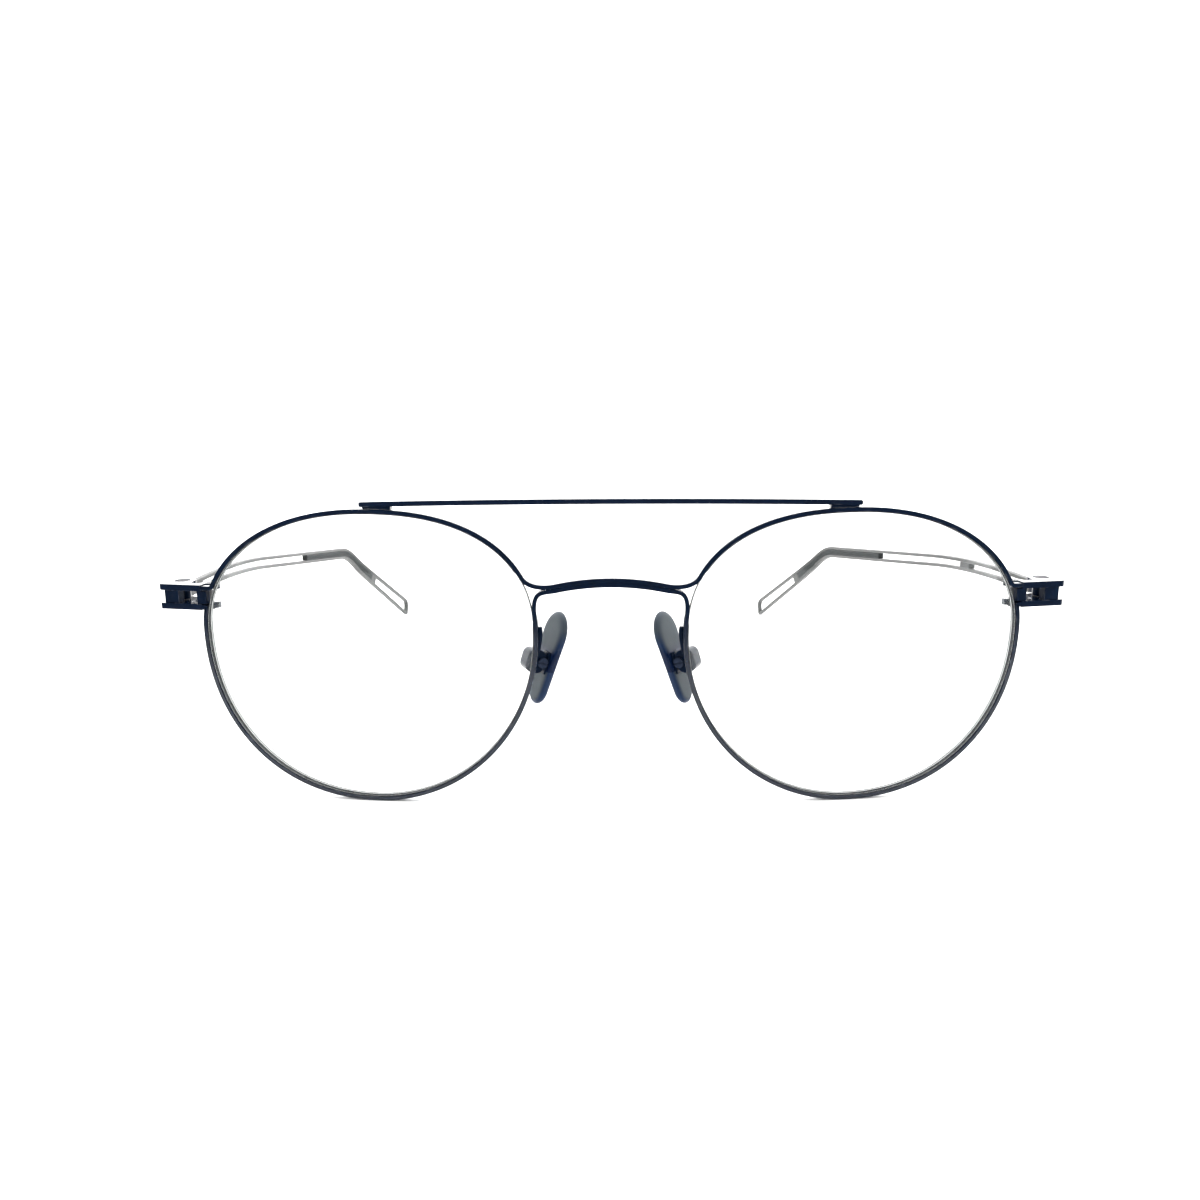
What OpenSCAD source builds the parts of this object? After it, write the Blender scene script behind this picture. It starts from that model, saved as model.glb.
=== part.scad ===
// Double-wire eyeglass frame with a brow bar, grooved rims, screw hinges and rocking nose pads.
// Front coordinates: u runs across the front, w runs back from its front face, v runs up
// from the widest line of the lenses. The front is bent round the face, then leaned so that
// the frame stands on its two rims and two temple tips. The wearer's right side is at -X.

/* [Lens opening] */
// Opening from its centre to the nose side
lens_inner = 24.65; // [21:0.05:28]
// Opening from its centre to the temple side
lens_outer = 25.4; // [22:0.05:29]
// Opening above its widest line
lens_up = 18.2; // [16:0.1:23]
// Opening below its widest line
lens_down = 25.5; // [18:0.1:28]
// Gap between the two openings at the nose
nose_gap = 22.6; // [17:0.1:26]
// Squareness of the upper nose corner, 2 is an ellipse
square_up_in = 2.38; // [2:0.01:2.6]
// Squareness of the upper temple corner
square_up_out = 2.1; // [2:0.01:2.6]
// Squareness of the lower temple corner
square_down_out = 2.14; // [2:0.01:2.6]
// Squareness of the lower nose corner
square_down_in = 2.0; // [1.9:0.01:2.6]

/* [Lens] */
// Thickness of the lens at its edge
lens_t = 1.1; // [0.9:0.1:1.3]
// How far the middle of the lens stands forward of its edge
lens_crown = 2.0; // [0.5:0.1:4]
// Play between the lens edge and the groove
lens_play = 0.05; // [0.02:0.01:0.1]

/* [Rim wire] */
// Radius of the bend of the front round the face
face_r = 350; // [220:10:900]
// Thickness of the rim wire, seen from the front
rim_t = 0.65; // [0.5:0.05:0.8]
// Depth of the rim wire, front to back
rim_d = 1.4; // [1.3:0.05:1.8]
// Depth of the lens groove in the wire
groove_d = 0.22; // [0.12:0.02:0.26]
// Bevel on the outer edges of the wires
wire_bevel = 0.12; // [0.05:0.01:0.15]

/* [Bridge] */
// Height of the top of the bridge wire above the widest line
bridge_v = 8.9; // [6:0.1:12]
// Rise of the bridge from its ends to its middle
bridge_rise = 0.85; // [0.2:0.05:2]
// Half length of the arched middle of the bridge
bridge_half = 8; // [6:0.1:9]

/* [Brow bar] */
// Half length of the brow bar
brow_half = 36.4; // [28:0.1:42]
// Height of the brow bar, seen from the front
brow_t = 0.75; // [0.6:0.05:1.2]
// Gap between the brow bar and the top of the rims
brow_gap = 0.28; // [0.15:0.01:0.6]
// Rise of the brow bar in its middle
brow_rise = 0.55; // [0:0.05:2]
// Length of each spacer under the brow bar
brow_pad_l = 4.2; // [2:0.1:6]

/* [Endpiece] */
// Height of the upper plate's middle above the widest line
plate_up = 6.5; // [5.5:0.1:7.5]
// Distance between the middles of the two plates
plate_pitch = 2.9; // [2.8:0.05:3.4]
// Thickness of each plate
plate_t = 0.95; // [0.7:0.05:1]
// Length of the plates outwards from the rim
plate_l = 7; // [6.9:0.05:8.2]
// Distance from the rim's widest line to the start of the plates
plate_start = 0.25; // [0.2:0.05:0.6]
// Radius of the eye round the hinge screw
hinge_eye_r = 2.0; // [1.9:0.05:2.3]
// Radius of the eye round the closing screw
closing_eye_r = 0.85; // [0.8:0.05:0.9]

/* [Hinge] */
// Distance of the hinge axis outwards from the start of the plates
hinge_x = 4.75; // [4.6:0.05:5]
// Distance of the hinge axis behind the front face
hinge_y = 3.0; // [2.9:0.05:3.4]
// Radius of the hinge knuckle
knuckle_r = 1.1; // [1:0.05:1.15]
// Diameter of the hinge screw
hinge_screw_d = 1.2; // [1:0.05:1.3]
// Diameter of the hinge screw head
hinge_head_d = 2.1; // [1.8:0.05:2.4]
// Thickness of each hinge washer
washer_t = 0.12; // [0.08:0.01:0.2]
// Running play of the hinge, up and down and round the screw
hinge_play = 0.03; // [0.02:0.01:0.05]
// Diameter of the closing screw
closing_screw_d = 0.8; // [0.7:0.05:1]

/* [Temple] */
// Distance along the temple from the hinge axis to the bend at the ear
temple_to_bend = 103; // [85:0.5:108]
// Distance along the temple from the bend to the tip
temple_tail = 40; // [36:0.5:48]
// Angle by which the temple drops from square to the front
pantoscopic_angle = 8.7; // [5:0.1:11]
// Length over which the temple takes up that angle
pantoscopic_run = 36; // [20:1:50]
// Angle by which the tail drops at the ear
ear_drop_angle = 24.7; // [16:0.5:34]
// Length of the bend at the ear
ear_run = 10; // [8:0.5:18]
// Angle by which the temples close in towards each other
temple_close_angle = 3; // [1:0.1:4]
// Angle by which both temples stand over towards the wearer's right
temple_sway_angle = 3.3; // [0:0.1:4]
// Further angle by which the tails turn in behind the ears
tail_turn_angle = 16.5; // [8:0.5:24]
// Height of the temple wire
temple_wire_t = 0.62; // [0.5:0.02:0.68]
// Width of the temple wire
temple_wire_w = 1.1; // [0.9:0.05:1.3]
// Distance between the two runs of the wire at the hinge
run_pitch_hinge = 1.4; // [1.3:0.02:1.44]
// Distance between the two runs of the wire at the ear
run_pitch_ear = 2.0; // [1.5:0.05:2.6]
// Distance between the two runs of the wire near the tip
run_pitch_tip = 3.2; // [2.6:0.05:4]
// Distance from the hinge axis to the spacer in the left temple
spacer_at = 23; // [16:0.5:60]
// Length of that spacer
spacer_l = 3.5; // [2:0.1:6]
// Distance from the hinge axis to the ear insert
insert_at = 66; // [60:0.5:80]
// Length of the ear insert
insert_l = 53; // [38:0.5:55]
// Length of the block behind the ear insert
tail_block_l = 2.4; // [2:0.1:5]

/* [Nose pads] */
// Distance of the pad screw from the middle of the face
pad_u = 10.8; // [10:0.1:11]
// Distance of the pad screw behind the front face
pad_w = 5.2; // [5:0.1:7]
// Depth of the pad screw below the widest line
pad_down = 4.9; // [3:0.1:6]
// Angle of the pads to the straight-ahead line, seen from above
pad_splay_angle = 25; // [15:1:35]
// Lean of the pads towards each other at the top
pad_lean_angle = 18.5; // [8:1:24]
// Length of the pad
pad_l = 14.8; // [12:0.1:16]
// Width of the pad at its wide end
pad_wide = 7.6; // [6:0.1:8.5]
// Width of the pad at its narrow end
pad_narrow = 5.2; // [4:0.1:6]
// Thickness of the pad
pad_t = 1.4; // [1.2:0.1:2]
// Diameter of the pad screw
pad_screw_d = 0.9; // [0.8:0.05:1]
// Diameter of the wire of the pad arm
arm_d = 0.9; // [0.7:0.05:1]

/* [Hidden] */

RIGHT = -1;
LEFT = 1;
NAVY = "#161c33";
STEEL = "#8d9096";
SMOKE = "#70767a";
CLEAR = [0.86, 0.93, 0.96, 0.35];
// Gap left between two pieces that are brazed or bonded face to face along a curve
bond = 0.03;
// Length that a cut runs past the solid that it opens
past = 1;
round_fn = 48;

// Rims
rim_u = nose_gap / 2 + lens_inner;
half_wire = rim_t / 2;
plate_low = plate_up - plate_pitch;
plate_gap = plate_pitch - plate_t;
outline_step = 5;
// Half width of the groove for each unit of its depth
groove_slope = 1.6;
// Angle round the outline that a sharp turn of the wire takes up
corner_turn = 1.5;
corner_leg = 0.5;
// How softly each wire leaves the rim and enters the bridge
upper_ease = 1.5;
lower_ease = 4.6;
bridge_ease = 2.3;
under_ease = 2.0;
// Angles, from the temple side over the top, where the wires leave the outline at the nose
upper_leaves = 155;
lower_leaves = 174;

// Brow bar: the taper of its ends, and the place of its spacers
brow_cap = 0.35;
cap_depth = 0.7;
cap_height = 0.5;
brow_pad_back = 0.5;
brow_pad_inset = 0.2;

// Lens: shares of the way out from its middle
lens_fn = 72;
lens_rows = [0.04, 0.3, 0.55, 0.8, 1];

// Endpiece
plate_u = rim_u + lens_outer + half_wire + plate_start;
end_turn = plate_u / face_r * 180 / PI;
end_pos = [face_r * sin(end_turn), face_r * (1 - cos(end_turn)), 0];
hinge_v = plate_up - plate_pitch / 2;
hinge_pos = [end_pos[0] + hinge_x * cos(end_turn) - hinge_y * sin(end_turn),
             end_pos[1] + hinge_x * sin(end_turn) + hinge_y * cos(end_turn), hinge_v];
closing_x = -0.15;
closing_y = rim_d + 0.1 + closing_eye_r;
post_inner = hinge_x - 0.95;
post_outer = plate_l - 0.9;
post_back = hinge_y - knuckle_r - 0.3;
plate_inset = 0.15;
plate_nose = 0.6;
plate_heel = 0.3;
eye_root = 0.4;
eye_flare = 0.4;
closing_neck = 1.4;
closing_tab_l = 1.1;
closing_tab_r = 0.55;
block_lap = 0.5;
block_w = 1.55;
closing_head_w = 0.5;
closing_head_t = 0.3;
washer_inset = 0.05;
head_t = 0.4;
head_sink = 0.05;
head_play = 0.1;
slot_w = 0.28;
slot_d = 0.18;

// Temple
path_step = 1.5;
tip_s = temple_to_bend + temple_tail;
bend_start = temple_to_bend - ear_run / 2;
tail_turn_run = 20;
run_start = 2.3;
tang_end = 6.8;
tang_lap = 0.2;
straight_run = 3;
tip_slant = 1.3;
tip_round = 1.6;
tip_point = 0.5;
run_step = 3.5;
tail_block_slim = 0.2;

// Nose pad
pad_face = -1.0;
// Shift of the pad on its screw, towards the face and upwards
pad_shift = [1.1, 0.6];
lug_base_t = 0.3;
lug_base_l = 3.4;
lug_base_w = 2.2;
tongue_t = 0.9;
tongue_r = 0.95;
holder_open = -0.4;
holder_back = 2.6;
holder_h = 3.5;
holder_w = 2.4;
holder_round = 1.1;
pad_play = 0.06;
pad_head_d = 1.6;
arm_on_holder = [1.9, -holder_w / 2, 0.6];
arm_on_rim_v = 1.3;
arm_inset = 0.5;
// Share of the arm's radius that it stands off the rim, and the share that its foot keeps
arm_off = 0.9;
arm_foot = 0.7;
arm_drop = 2.6;
arm_stub = 0.4;
arm_lead = 1.4;
fork_floor = 0.3;
pad_fn = 32;
// How much fuller than its thickness the pad is domed before its two flats are cut
pad_dome = 1.5;

// General functions
function mix(a, b, t) = a + (b - a) * t;
function ramp(x, a, b) = x <= a ? 0 : x >= b ? 1 : (x - a) / (b - a);
function signed_power(x, e) = sign(x) * pow(abs(x), e);
function curve2(a, b, c, t) = mix(mix(a, b, t), mix(b, c, t), t);
function curve3(a, b, c, d, t) = mix(curve2(a, b, c, t), curve2(b, c, d, t), t);
function unit(p) = p / norm(p);
function flipped(path) = [for (i = [len(path) - 1 : -1 : 0]) [-path[i][0], path[i][1]]];
function bent(p) = let (a = p[0] / face_r * 180 / PI, r = face_r - p[1])
    [r * sin(a), face_r - r * cos(a), p[2]];

// Outline of one opening, grown by g, at an angle measured from the temple side over the top
function outline(a, g) =
    let (c = cos(a), s = sin(a),
         wide = (c > 0 ? lens_outer : lens_inner) + g,
         tall = (s > 0 ? lens_up : lens_down) + g,
         square = s > 0 ? (c > 0 ? square_up_out : square_up_in)
                        : (c > 0 ? square_down_out : square_down_in))
    [rim_u + wide * signed_power(c, 2 / square), tall * signed_power(s, 2 / square)];
function rim(a) = outline(a, half_wire);
function rim_angle(v) = asin(pow(v / (lens_up + half_wire), square_up_out / 2));
function rim_top(u) = let (x = abs(u - rim_u) / ((u > rim_u ? lens_outer : lens_inner) + rim_t),
                           n = u > rim_u ? square_up_out : square_up_in)
    (lens_up + rim_t) * pow(1 - pow(x, n), 1 / n);
function bridge_line(u) = bridge_v - half_wire - bridge_rise * pow(u / bridge_half, 2);
function brow_line(u) = lens_up + rim_t + brow_gap + brow_t / 2 + brow_rise * (1 - pow(u / brow_half, 2));

// Half of the upper wire, from the left plates to the middle of the bridge
function upper_half() =
    let (a = rim_angle(plate_up), k = rim(a), out = rim(a + corner_turn),
         p = rim(upper_leaves), run = unit(rim(upper_leaves + 1) - p),
         q = [bridge_half, bridge_line(bridge_half)],
         slope = unit([1, -2 * bridge_rise / bridge_half]),
         first = ceil((a + corner_turn + 1) / outline_step), last = floor((upper_leaves - 1) / outline_step))
    concat([[plate_u, plate_up]],
           [for (t = [0 : 0.25 : 1]) curve2(k + [corner_leg, 0], k, out, t)],
           [for (b = [first : last]) rim(b * outline_step)],
           [for (t = [0 : 0.125 : 1]) curve3(p, p + upper_ease * run, q + bridge_ease * slope, q, t)],
           [for (i = [5 : -1 : 0]) let (u = bridge_half * i / 6) [u, bridge_line(u)]]);

// Half of the lower wire, from the left plates round the bottom to the middle of the bridge
function lower_half() =
    let (a = rim_angle(plate_low), k = rim(a), out = rim(a - corner_turn),
         p = rim(lower_leaves), run = unit(rim(lower_leaves - 1) - p),
         drop = [0, -rim_t - bond],
         q = [bridge_half, bridge_line(bridge_half)] + drop,
         slope = unit([1, -2 * bridge_rise / bridge_half]),
         first = ceil((a - corner_turn - 1) / outline_step) - 1,
         last = ceil((lower_leaves - 359) / outline_step))
    concat([[plate_u, plate_low]],
           [for (t = [0 : 0.25 : 1]) curve2(k + [corner_leg, 0], k, out, t)],
           [for (b = [first : -1 : last]) rim(b * outline_step)],
           [for (t = [0 : 0.0625 : 1]) curve3(p, p + lower_ease * run, q + under_ease * slope, q, t)],
           [for (i = [5 : -1 : 0]) let (u = bridge_half * i / 6) [u, bridge_line(u)] + drop]);

// Side normals of a flat path, and one ring of the wire's section at each of its points
function side(path, i) =
    let (a = path[max(i - 1, 0)], b = path[min(i + 1, len(path) - 1)], d = unit(b - a)) [-d[1], d[0]];
function rings(path, section) =
    [for (i = [0 : len(path) - 1]) let (n = side(path, i))
        [for (p = section) [path[i][0] + p[0] * n[0], p[1], path[i][1] + p[0] * n[1]]]];

// Section of a bar, and of a rim wire with its groove on one side
function bar_section(t, d0, d1, c) =
    [[-t / 2 + c, d0], [t / 2 - c, d0], [t / 2, d0 + c], [t / 2, d1 - c],
     [t / 2 - c, d1], [-t / 2 + c, d1], [-t / 2, d1 - c], [-t / 2, d0 + c]];
function groove_section(t, d, c, g, hand) =
    let (m = [[-t / 2 + c, 0], [t / 2 - c, 0], [t / 2, c], [t / 2, d / 2 - groove_slope * g],
              [t / 2 - g, d / 2], [t / 2, d / 2 + groove_slope * g], [t / 2, d - c],
              [t / 2 - c, d], [-t / 2 + c, d], [-t / 2, d - c], [-t / 2, c]])
    hand > 0 ? m : [for (i = [len(m) - 1 : -1 : 0]) [-m[i][0], m[i][1]]];

// Solid through a list of rings, each with the same number of points
module skin(loops) {
    k = len(loops[0]);
    n = len(loops);
    polyhedron(
        points = [for (ring = loops) for (p = ring) p],
        faces = concat(
            [[for (j = [0 : k - 1]) j]],
            [for (i = [0 : n - 2]) for (j = [0 : k - 1]) let (m = (j + 1) % k)
                [i * k + j, (i + 1) * k + j, i * k + m]],
            [for (i = [0 : n - 2]) for (j = [0 : k - 1]) let (m = (j + 1) % k)
                [i * k + m, (i + 1) * k + j, (i + 1) * k + m]],
            [[for (j = [k - 1 : -1 : 0]) (n - 1) * k + j]]),
        convexity = 10);
}

// Places
module mirrored(hand) {
    if (hand < 0) mirror([1, 0, 0]) children();
    else children();
}

module standing() {
    translate([0, -stand_mid, -stand_low]) rotate([stand_lean, 0, 0]) children();
}

module at_endpiece(hand) {
    standing() mirrored(hand) translate(end_pos) rotate([0, 0, end_turn]) children();
}

module at_hinge(hand) {
    standing() mirrored(hand) translate(hinge_pos) rotate([0, 0, closing(hand)]) children();
}

module at_pad(hand) {
    standing() mirrored(hand) translate(pad_pos)
        rotate([0, 0, -pad_splay_angle]) rotate([0, -pad_lean_angle, 0]) children();
}

// Temple centre line from the hinge axis, followed by its turn and its drop
function closing(hand) = temple_close_angle + hand * temple_sway_angle;
function drop_at(s) = pantoscopic_angle * ramp(s, straight_run, straight_run + pantoscopic_run)
    + ear_drop_angle * ramp(s, bend_start, bend_start + ear_run);
function turn_at(s) = tail_turn_angle * ramp(s, bend_start, bend_start + tail_turn_run);
function heading(s) = let (t = turn_at(s), d = drop_at(s)) [-sin(t) * cos(d), cos(t) * cos(d), -sin(d)];
centre_line = [for (i = 0, p = [0, 0, 0]; i <= ceil(tip_s / path_step) + 2;
                    p = p + path_step * heading((i + 0.5) * path_step), i = i + 1) p];
function temple_point(p) =
    let (s = p[0], i = floor(s / path_step), c = mix(centre_line[i], centre_line[i + 1], s / path_step - i),
         t = turn_at(s), d = drop_at(s))
    c + p[2] * [-sin(t) * sin(d), cos(t) * sin(d), cos(d)] + p[1] * [cos(t), sin(t), 0];
function half_pitch(s) = (mix(run_pitch_hinge, run_pitch_ear, ramp(s, straight_run, bend_start))
    + (run_pitch_tip - run_pitch_ear) * ramp(s, bend_start + ear_run, tip_s - tip_round)) / 2;

// The wire runs out along the top, turns at the tip and comes back along the bottom
function hairpin() =
    let (top_end = tip_s - tip_slant - tip_round, h = half_pitch(tip_s),
         top = [tip_s - tip_slant, h], low = [tip_s, -h], down = unit(low - top),
         count = ceil((top_end - run_start) / run_step))
    concat([for (i = [0 : count]) let (s = mix(run_start, top_end, i / count)) [s, half_pitch(s)]],
           [for (t = [0.2 : 0.2 : 1])
               curve2([top_end, half_pitch(top_end)], top, top + tip_round * down, t)],
           [for (t = [0 : 0.25 : 1]) curve2(low - tip_point * down, low, low - [tip_point, 0], t)],
           [for (i = [count : -1 : 0]) let (s = mix(run_start, tip_s - 2 * tip_point, i / count))
               [s, -half_pitch(s)]]);

// Standing on the rims and on the tips of the temples
rim_foot = bent([rim_u, 0, -lens_down - rim_t]);
tip_foot = temple_point([tip_s, 0, -half_pitch(tip_s) - temple_wire_t / 2]);
tip_low = hinge_pos[2] + tip_foot[2];
function tip_back(hand) = let (a = closing(hand)) hinge_pos[1] + tip_foot[0] * sin(a) + tip_foot[1] * cos(a);
stand_lean = atan2(rim_foot[2] - tip_low, min(tip_back(LEFT), tip_back(RIGHT)) - rim_foot[1]);
stand_low = rim_foot[2] * cos(stand_lean) + rim_foot[1] * sin(stand_lean);
brow_top = brow_line(0) + brow_t / 2;
stand_back = max(tip_back(LEFT), tip_back(RIGHT)) * cos(stand_lean) - tip_low * sin(stand_lean);
stand_mid = (stand_back - brow_top * sin(stand_lean)) / 2;

// Pad screw and the way from the pad's own frame to the front
pad_pos = [pad_u, pad_w, -pad_down];
function from_pad(p) =
    let (x = p[0] * cos(pad_lean_angle) - p[2] * sin(pad_lean_angle),
         z = p[0] * sin(pad_lean_angle) + p[2] * cos(pad_lean_angle))
    pad_pos + [x * cos(pad_splay_angle) + p[1] * sin(pad_splay_angle),
               -x * sin(pad_splay_angle) + p[1] * cos(pad_splay_angle), z];

// Front
module rim_wire(half, hand) {
    path = concat(half, [for (i = [1 : len(half) - 1]) flipped(half)[i]]);
    loops = rings(path, groove_section(rim_t, rim_d, wire_bevel, groove_d, hand));
    color(NAVY) standing() skin([for (ring = loops) [for (p = ring) bent(p)]]);
}

module upper_rim_wire() {
    rim_wire(upper_half(), 1);
}

module lower_rim_wire() {
    rim_wire(lower_half(), -1);
}

module brow_bar() {
    count = 22;
    inner = brow_half - brow_cap;
    stops = [for (i = [0 : count]) mix(inner, -inner, i / count)];
    path = [for (u = concat([brow_half], stops, [-brow_half])) [u, brow_line(u)]];
    loops = rings(path, bar_section(brow_t, 0, rim_d, wire_bevel));
    last = len(path) - 1;
    color(NAVY) standing() skin([for (i = [0 : last]) let (full = i > 0 && i < last)
        [for (p = loops[i])
            bent(full ? p : [p[0], mix(rim_d / 2, p[1], cap_depth), mix(path[i][1], p[2], cap_height)])]]);
}

module brow_spacer(hand) {
    count = 6;
    outer = brow_half - brow_pad_back;
    front = brow_pad_inset;
    back = rim_d - brow_pad_inset;
    loops = [for (i = [0 : count])
        let (u = outer - brow_pad_l * i / count,
             low = rim_top(u) + bond, high = brow_line(u) - brow_t / 2 - bond)
        [[u, front, low], [u, front, high], [u, back, high], [u, back, low]]];
    color(NAVY) standing() mirrored(hand) skin([for (ring = loops) [for (p = ring) bent(p)]]);
}

module lens(hand) {
    middle = rim_d / 2;
    front = middle - lens_t / 2;
    back = middle + lens_t / 2;
    bevel = groove_slope * groove_d;
    last = len(lens_rows) - 1;
    rows = [for (r = lens_rows) [r, -lens_play, front],
            [1, -lens_play, middle - bevel], [1, groove_d - lens_play, middle],
            [1, -lens_play, middle + bevel],
            for (i = [last : -1 : 0]) [lens_rows[i], -lens_play, back]];
    loops = [for (row = rows) [for (i = [0 : lens_fn - 1])
        let (p = outline(-360 * i / lens_fn, row[1]), r = row[0])
        [mix(rim_u, p[0], r), row[2] - lens_crown * (1 - r * r), p[1] * r]]];
    color(CLEAR) standing() mirrored(hand) skin([for (ring = loops) [for (p = ring) bent(p)]]);
}

// Endpiece
module plate_plan() {
    root = rim_d - eye_root;
    chord = closing_eye_r * sin(45);
    square([plate_l - plate_nose, rim_d]);
    translate([plate_l - plate_nose, plate_nose]) circle(r = plate_nose, $fn = round_fn);
    translate([plate_l - 2 * plate_nose, plate_nose])
        square([2 * plate_nose, rim_d - plate_nose + plate_heel]);
    translate([closing_x, closing_y]) circle(r = closing_eye_r, $fn = round_fn);
    translate([closing_x - closing_tab_l, closing_y - closing_tab_r])
        square([closing_tab_l, 2 * closing_tab_r]);
    translate([closing_x - closing_tab_l, closing_y]) circle(r = closing_tab_r, $fn = round_fn);
    polygon([[0, root], [closing_neck, root], [closing_x + closing_eye_r, closing_y],
             [closing_x, closing_y], [closing_x - chord, closing_y - chord], [0, rim_d + plate_inset]]);
    translate([hinge_x, hinge_y]) circle(r = hinge_eye_r, $fn = round_fn);
    polygon([[hinge_x - hinge_eye_r - eye_flare, root], [plate_l - plate_inset, root],
             [hinge_x + hinge_eye_r - bond, hinge_y], [hinge_x - hinge_eye_r + bond, hinge_y]]);
}

module plate(hand, v, head) {
    low = v - plate_t / 2;
    color(NAVY) at_endpiece(hand) difference() {
        translate([0, 0, low]) linear_extrude(plate_t) plate_plan();
        translate([hinge_x, hinge_y, low - past])
            cylinder(d = hinge_screw_d, h = plate_t + 2 * past, $fn = round_fn);
        translate([closing_x, closing_y, low - past])
            cylinder(d = closing_screw_d, h = plate_t + 2 * past, $fn = round_fn);
        if (head)
            translate([hinge_x, hinge_y, v + plate_t / 2 - head_t - head_sink])
                cylinder(d = hinge_head_d + 2 * head_play, h = head_t + past, $fn = round_fn);
    }
}

module closing_block(hand) {
    low = plate_low + plate_t / 2;
    color(NAVY) at_endpiece(hand) translate([-plate_start - block_lap, plate_inset, low])
        cube([block_w, rim_d - 2 * plate_inset, plate_gap]);
}

module closing_screw(hand) {
    low = plate_low - plate_t / 2;
    color(STEEL) at_endpiece(hand) translate([closing_x, closing_y, low]) difference() {
        union() {
            cylinder(d = closing_screw_d, h = plate_pitch + plate_t, $fn = round_fn);
            translate([0, 0, -closing_head_t])
                cylinder(d = closing_screw_d + closing_head_w, h = closing_head_t, $fn = round_fn);
        }
        translate([-past, -slot_w / 2, -closing_head_t - past]) cube([2 * past, slot_w, past + slot_d]);
    }
}

module hinge_post(hand) {
    low = plate_low + plate_t / 2;
    color(NAVY) at_endpiece(hand) translate([post_inner, plate_inset, low])
        cube([post_outer - post_inner, post_back - plate_inset, plate_gap]);
}

module hinge_screw(hand) {
    low = plate_low - plate_t / 2;
    top = plate_up + plate_t / 2 - head_sink;
    color(STEEL) at_endpiece(hand) translate([hinge_x, hinge_y, 0]) difference() {
        union() {
            translate([0, 0, low]) cylinder(d = hinge_screw_d, h = top - low, $fn = round_fn);
            translate([0, 0, top - head_t]) cylinder(d = hinge_head_d, h = head_t, $fn = round_fn);
        }
        translate([-2 * past, -slot_w / 2, top - slot_d]) cube([4 * past, slot_w, past]);
    }
}

module hinge_washers(hand) {
    inside = plate_gap / 2 - washer_t;
    color(STEEL) at_endpiece(hand) translate([hinge_x, hinge_y, hinge_v])
        for (z = [-inside - washer_t, inside])
            translate([0, 0, z]) linear_extrude(washer_t) difference() {
                circle(r = knuckle_r - washer_inset, $fn = round_fn);
                circle(d = hinge_screw_d + 2 * bond, $fn = round_fn);
            }
}

// Temple
module hinge_knuckle(hand) {
    tall = plate_gap - 2 * washer_t - 2 * hinge_play;
    thin = run_pitch_hinge - temple_wire_t - 2 * bond;
    half = temple_wire_w / 2;
    color(NAVY) at_hinge(hand) difference() {
        union() {
            translate([0, 0, -tall / 2]) linear_extrude(tall) {
                circle(r = knuckle_r, $fn = round_fn);
                translate([0, -knuckle_r]) square([knuckle_r - washer_inset, knuckle_r]);
                translate([-half, 0]) square([temple_wire_w, run_start - tang_lap / 2]);
            }
            translate([-half, run_start - tang_lap, -thin / 2])
                cube([temple_wire_w, tang_end - run_start + tang_lap, thin]);
        }
        translate([0, 0, -tall / 2 - past])
            cylinder(d = hinge_screw_d + 2 * hinge_play, h = tall + 2 * past, $fn = round_fn);
    }
}

module temple_wire(hand) {
    half = temple_wire_w / 2;
    loops = rings(hairpin(), bar_section(temple_wire_t, -half, half, wire_bevel));
    color(NAVY) at_hinge(hand) skin([for (ring = loops) [for (p = ring) temple_point(p)]]);
}

// Fills the gap between the two runs of the temple wire from one place to another
module between_runs(hand, from, to, width) {
    count = max(1, ceil((to - from) / run_step));
    loops = [for (i = [0 : count])
        let (s = mix(from, to, i / count), h = half_pitch(s) - temple_wire_t / 2 - bond)
        [[s, -width / 2, -h], [s, -width / 2, h], [s, width / 2, h], [s, width / 2, -h]]];
    at_hinge(hand) skin([for (ring = loops) [for (p = ring) temple_point(p)]]);
}

module temple_spacer() {
    color(STEEL) between_runs(LEFT, spacer_at, spacer_at + spacer_l, temple_wire_w);
}

module ear_insert(hand) {
    color(SMOKE) between_runs(hand, insert_at, insert_at + insert_l, temple_wire_w);
}

module tail_block(hand) {
    start = insert_at + insert_l + bond;
    color(NAVY) between_runs(hand, start, start + tail_block_l, temple_wire_w - tail_block_slim);
}

// Nose pads
module pad_arm(hand) {
    sides = 8;
    r = arm_d / 2;
    top = bent([rim(180 - rim_angle(arm_on_rim_v))[0] - arm_inset, rim_d + arm_off * r, arm_on_rim_v]);
    end = arm_on_holder - [0, bond, 0];
    lead = from_pad(end - [0, arm_lead, 0]);
    stub = from_pad(end - [0, arm_stub, 0]);
    sweep = [for (t = [0 : 0.1 : 1]) curve3(top, top - [0, 0, arm_drop], lead, stub, t)];
    line = concat(sweep, [from_pad(end)]);
    last = len(line) - 1;
    loops = [for (i = [0 : last])
        let (d = unit(line[min(i + 1, last)] - line[max(i - 1, 0)]),
             x = unit(cross(d, [0, 1, 0])), y = cross(x, d),
             q = i == 0 ? arm_foot * r : r)
        [for (j = [0 : sides - 1])
            let (a = 360 * (j + 0.5) / sides) line[i] + q * (cos(a) * x + sin(a) * y)]];
    color(NAVY) standing() mirrored(hand) skin(loops);
}

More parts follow.
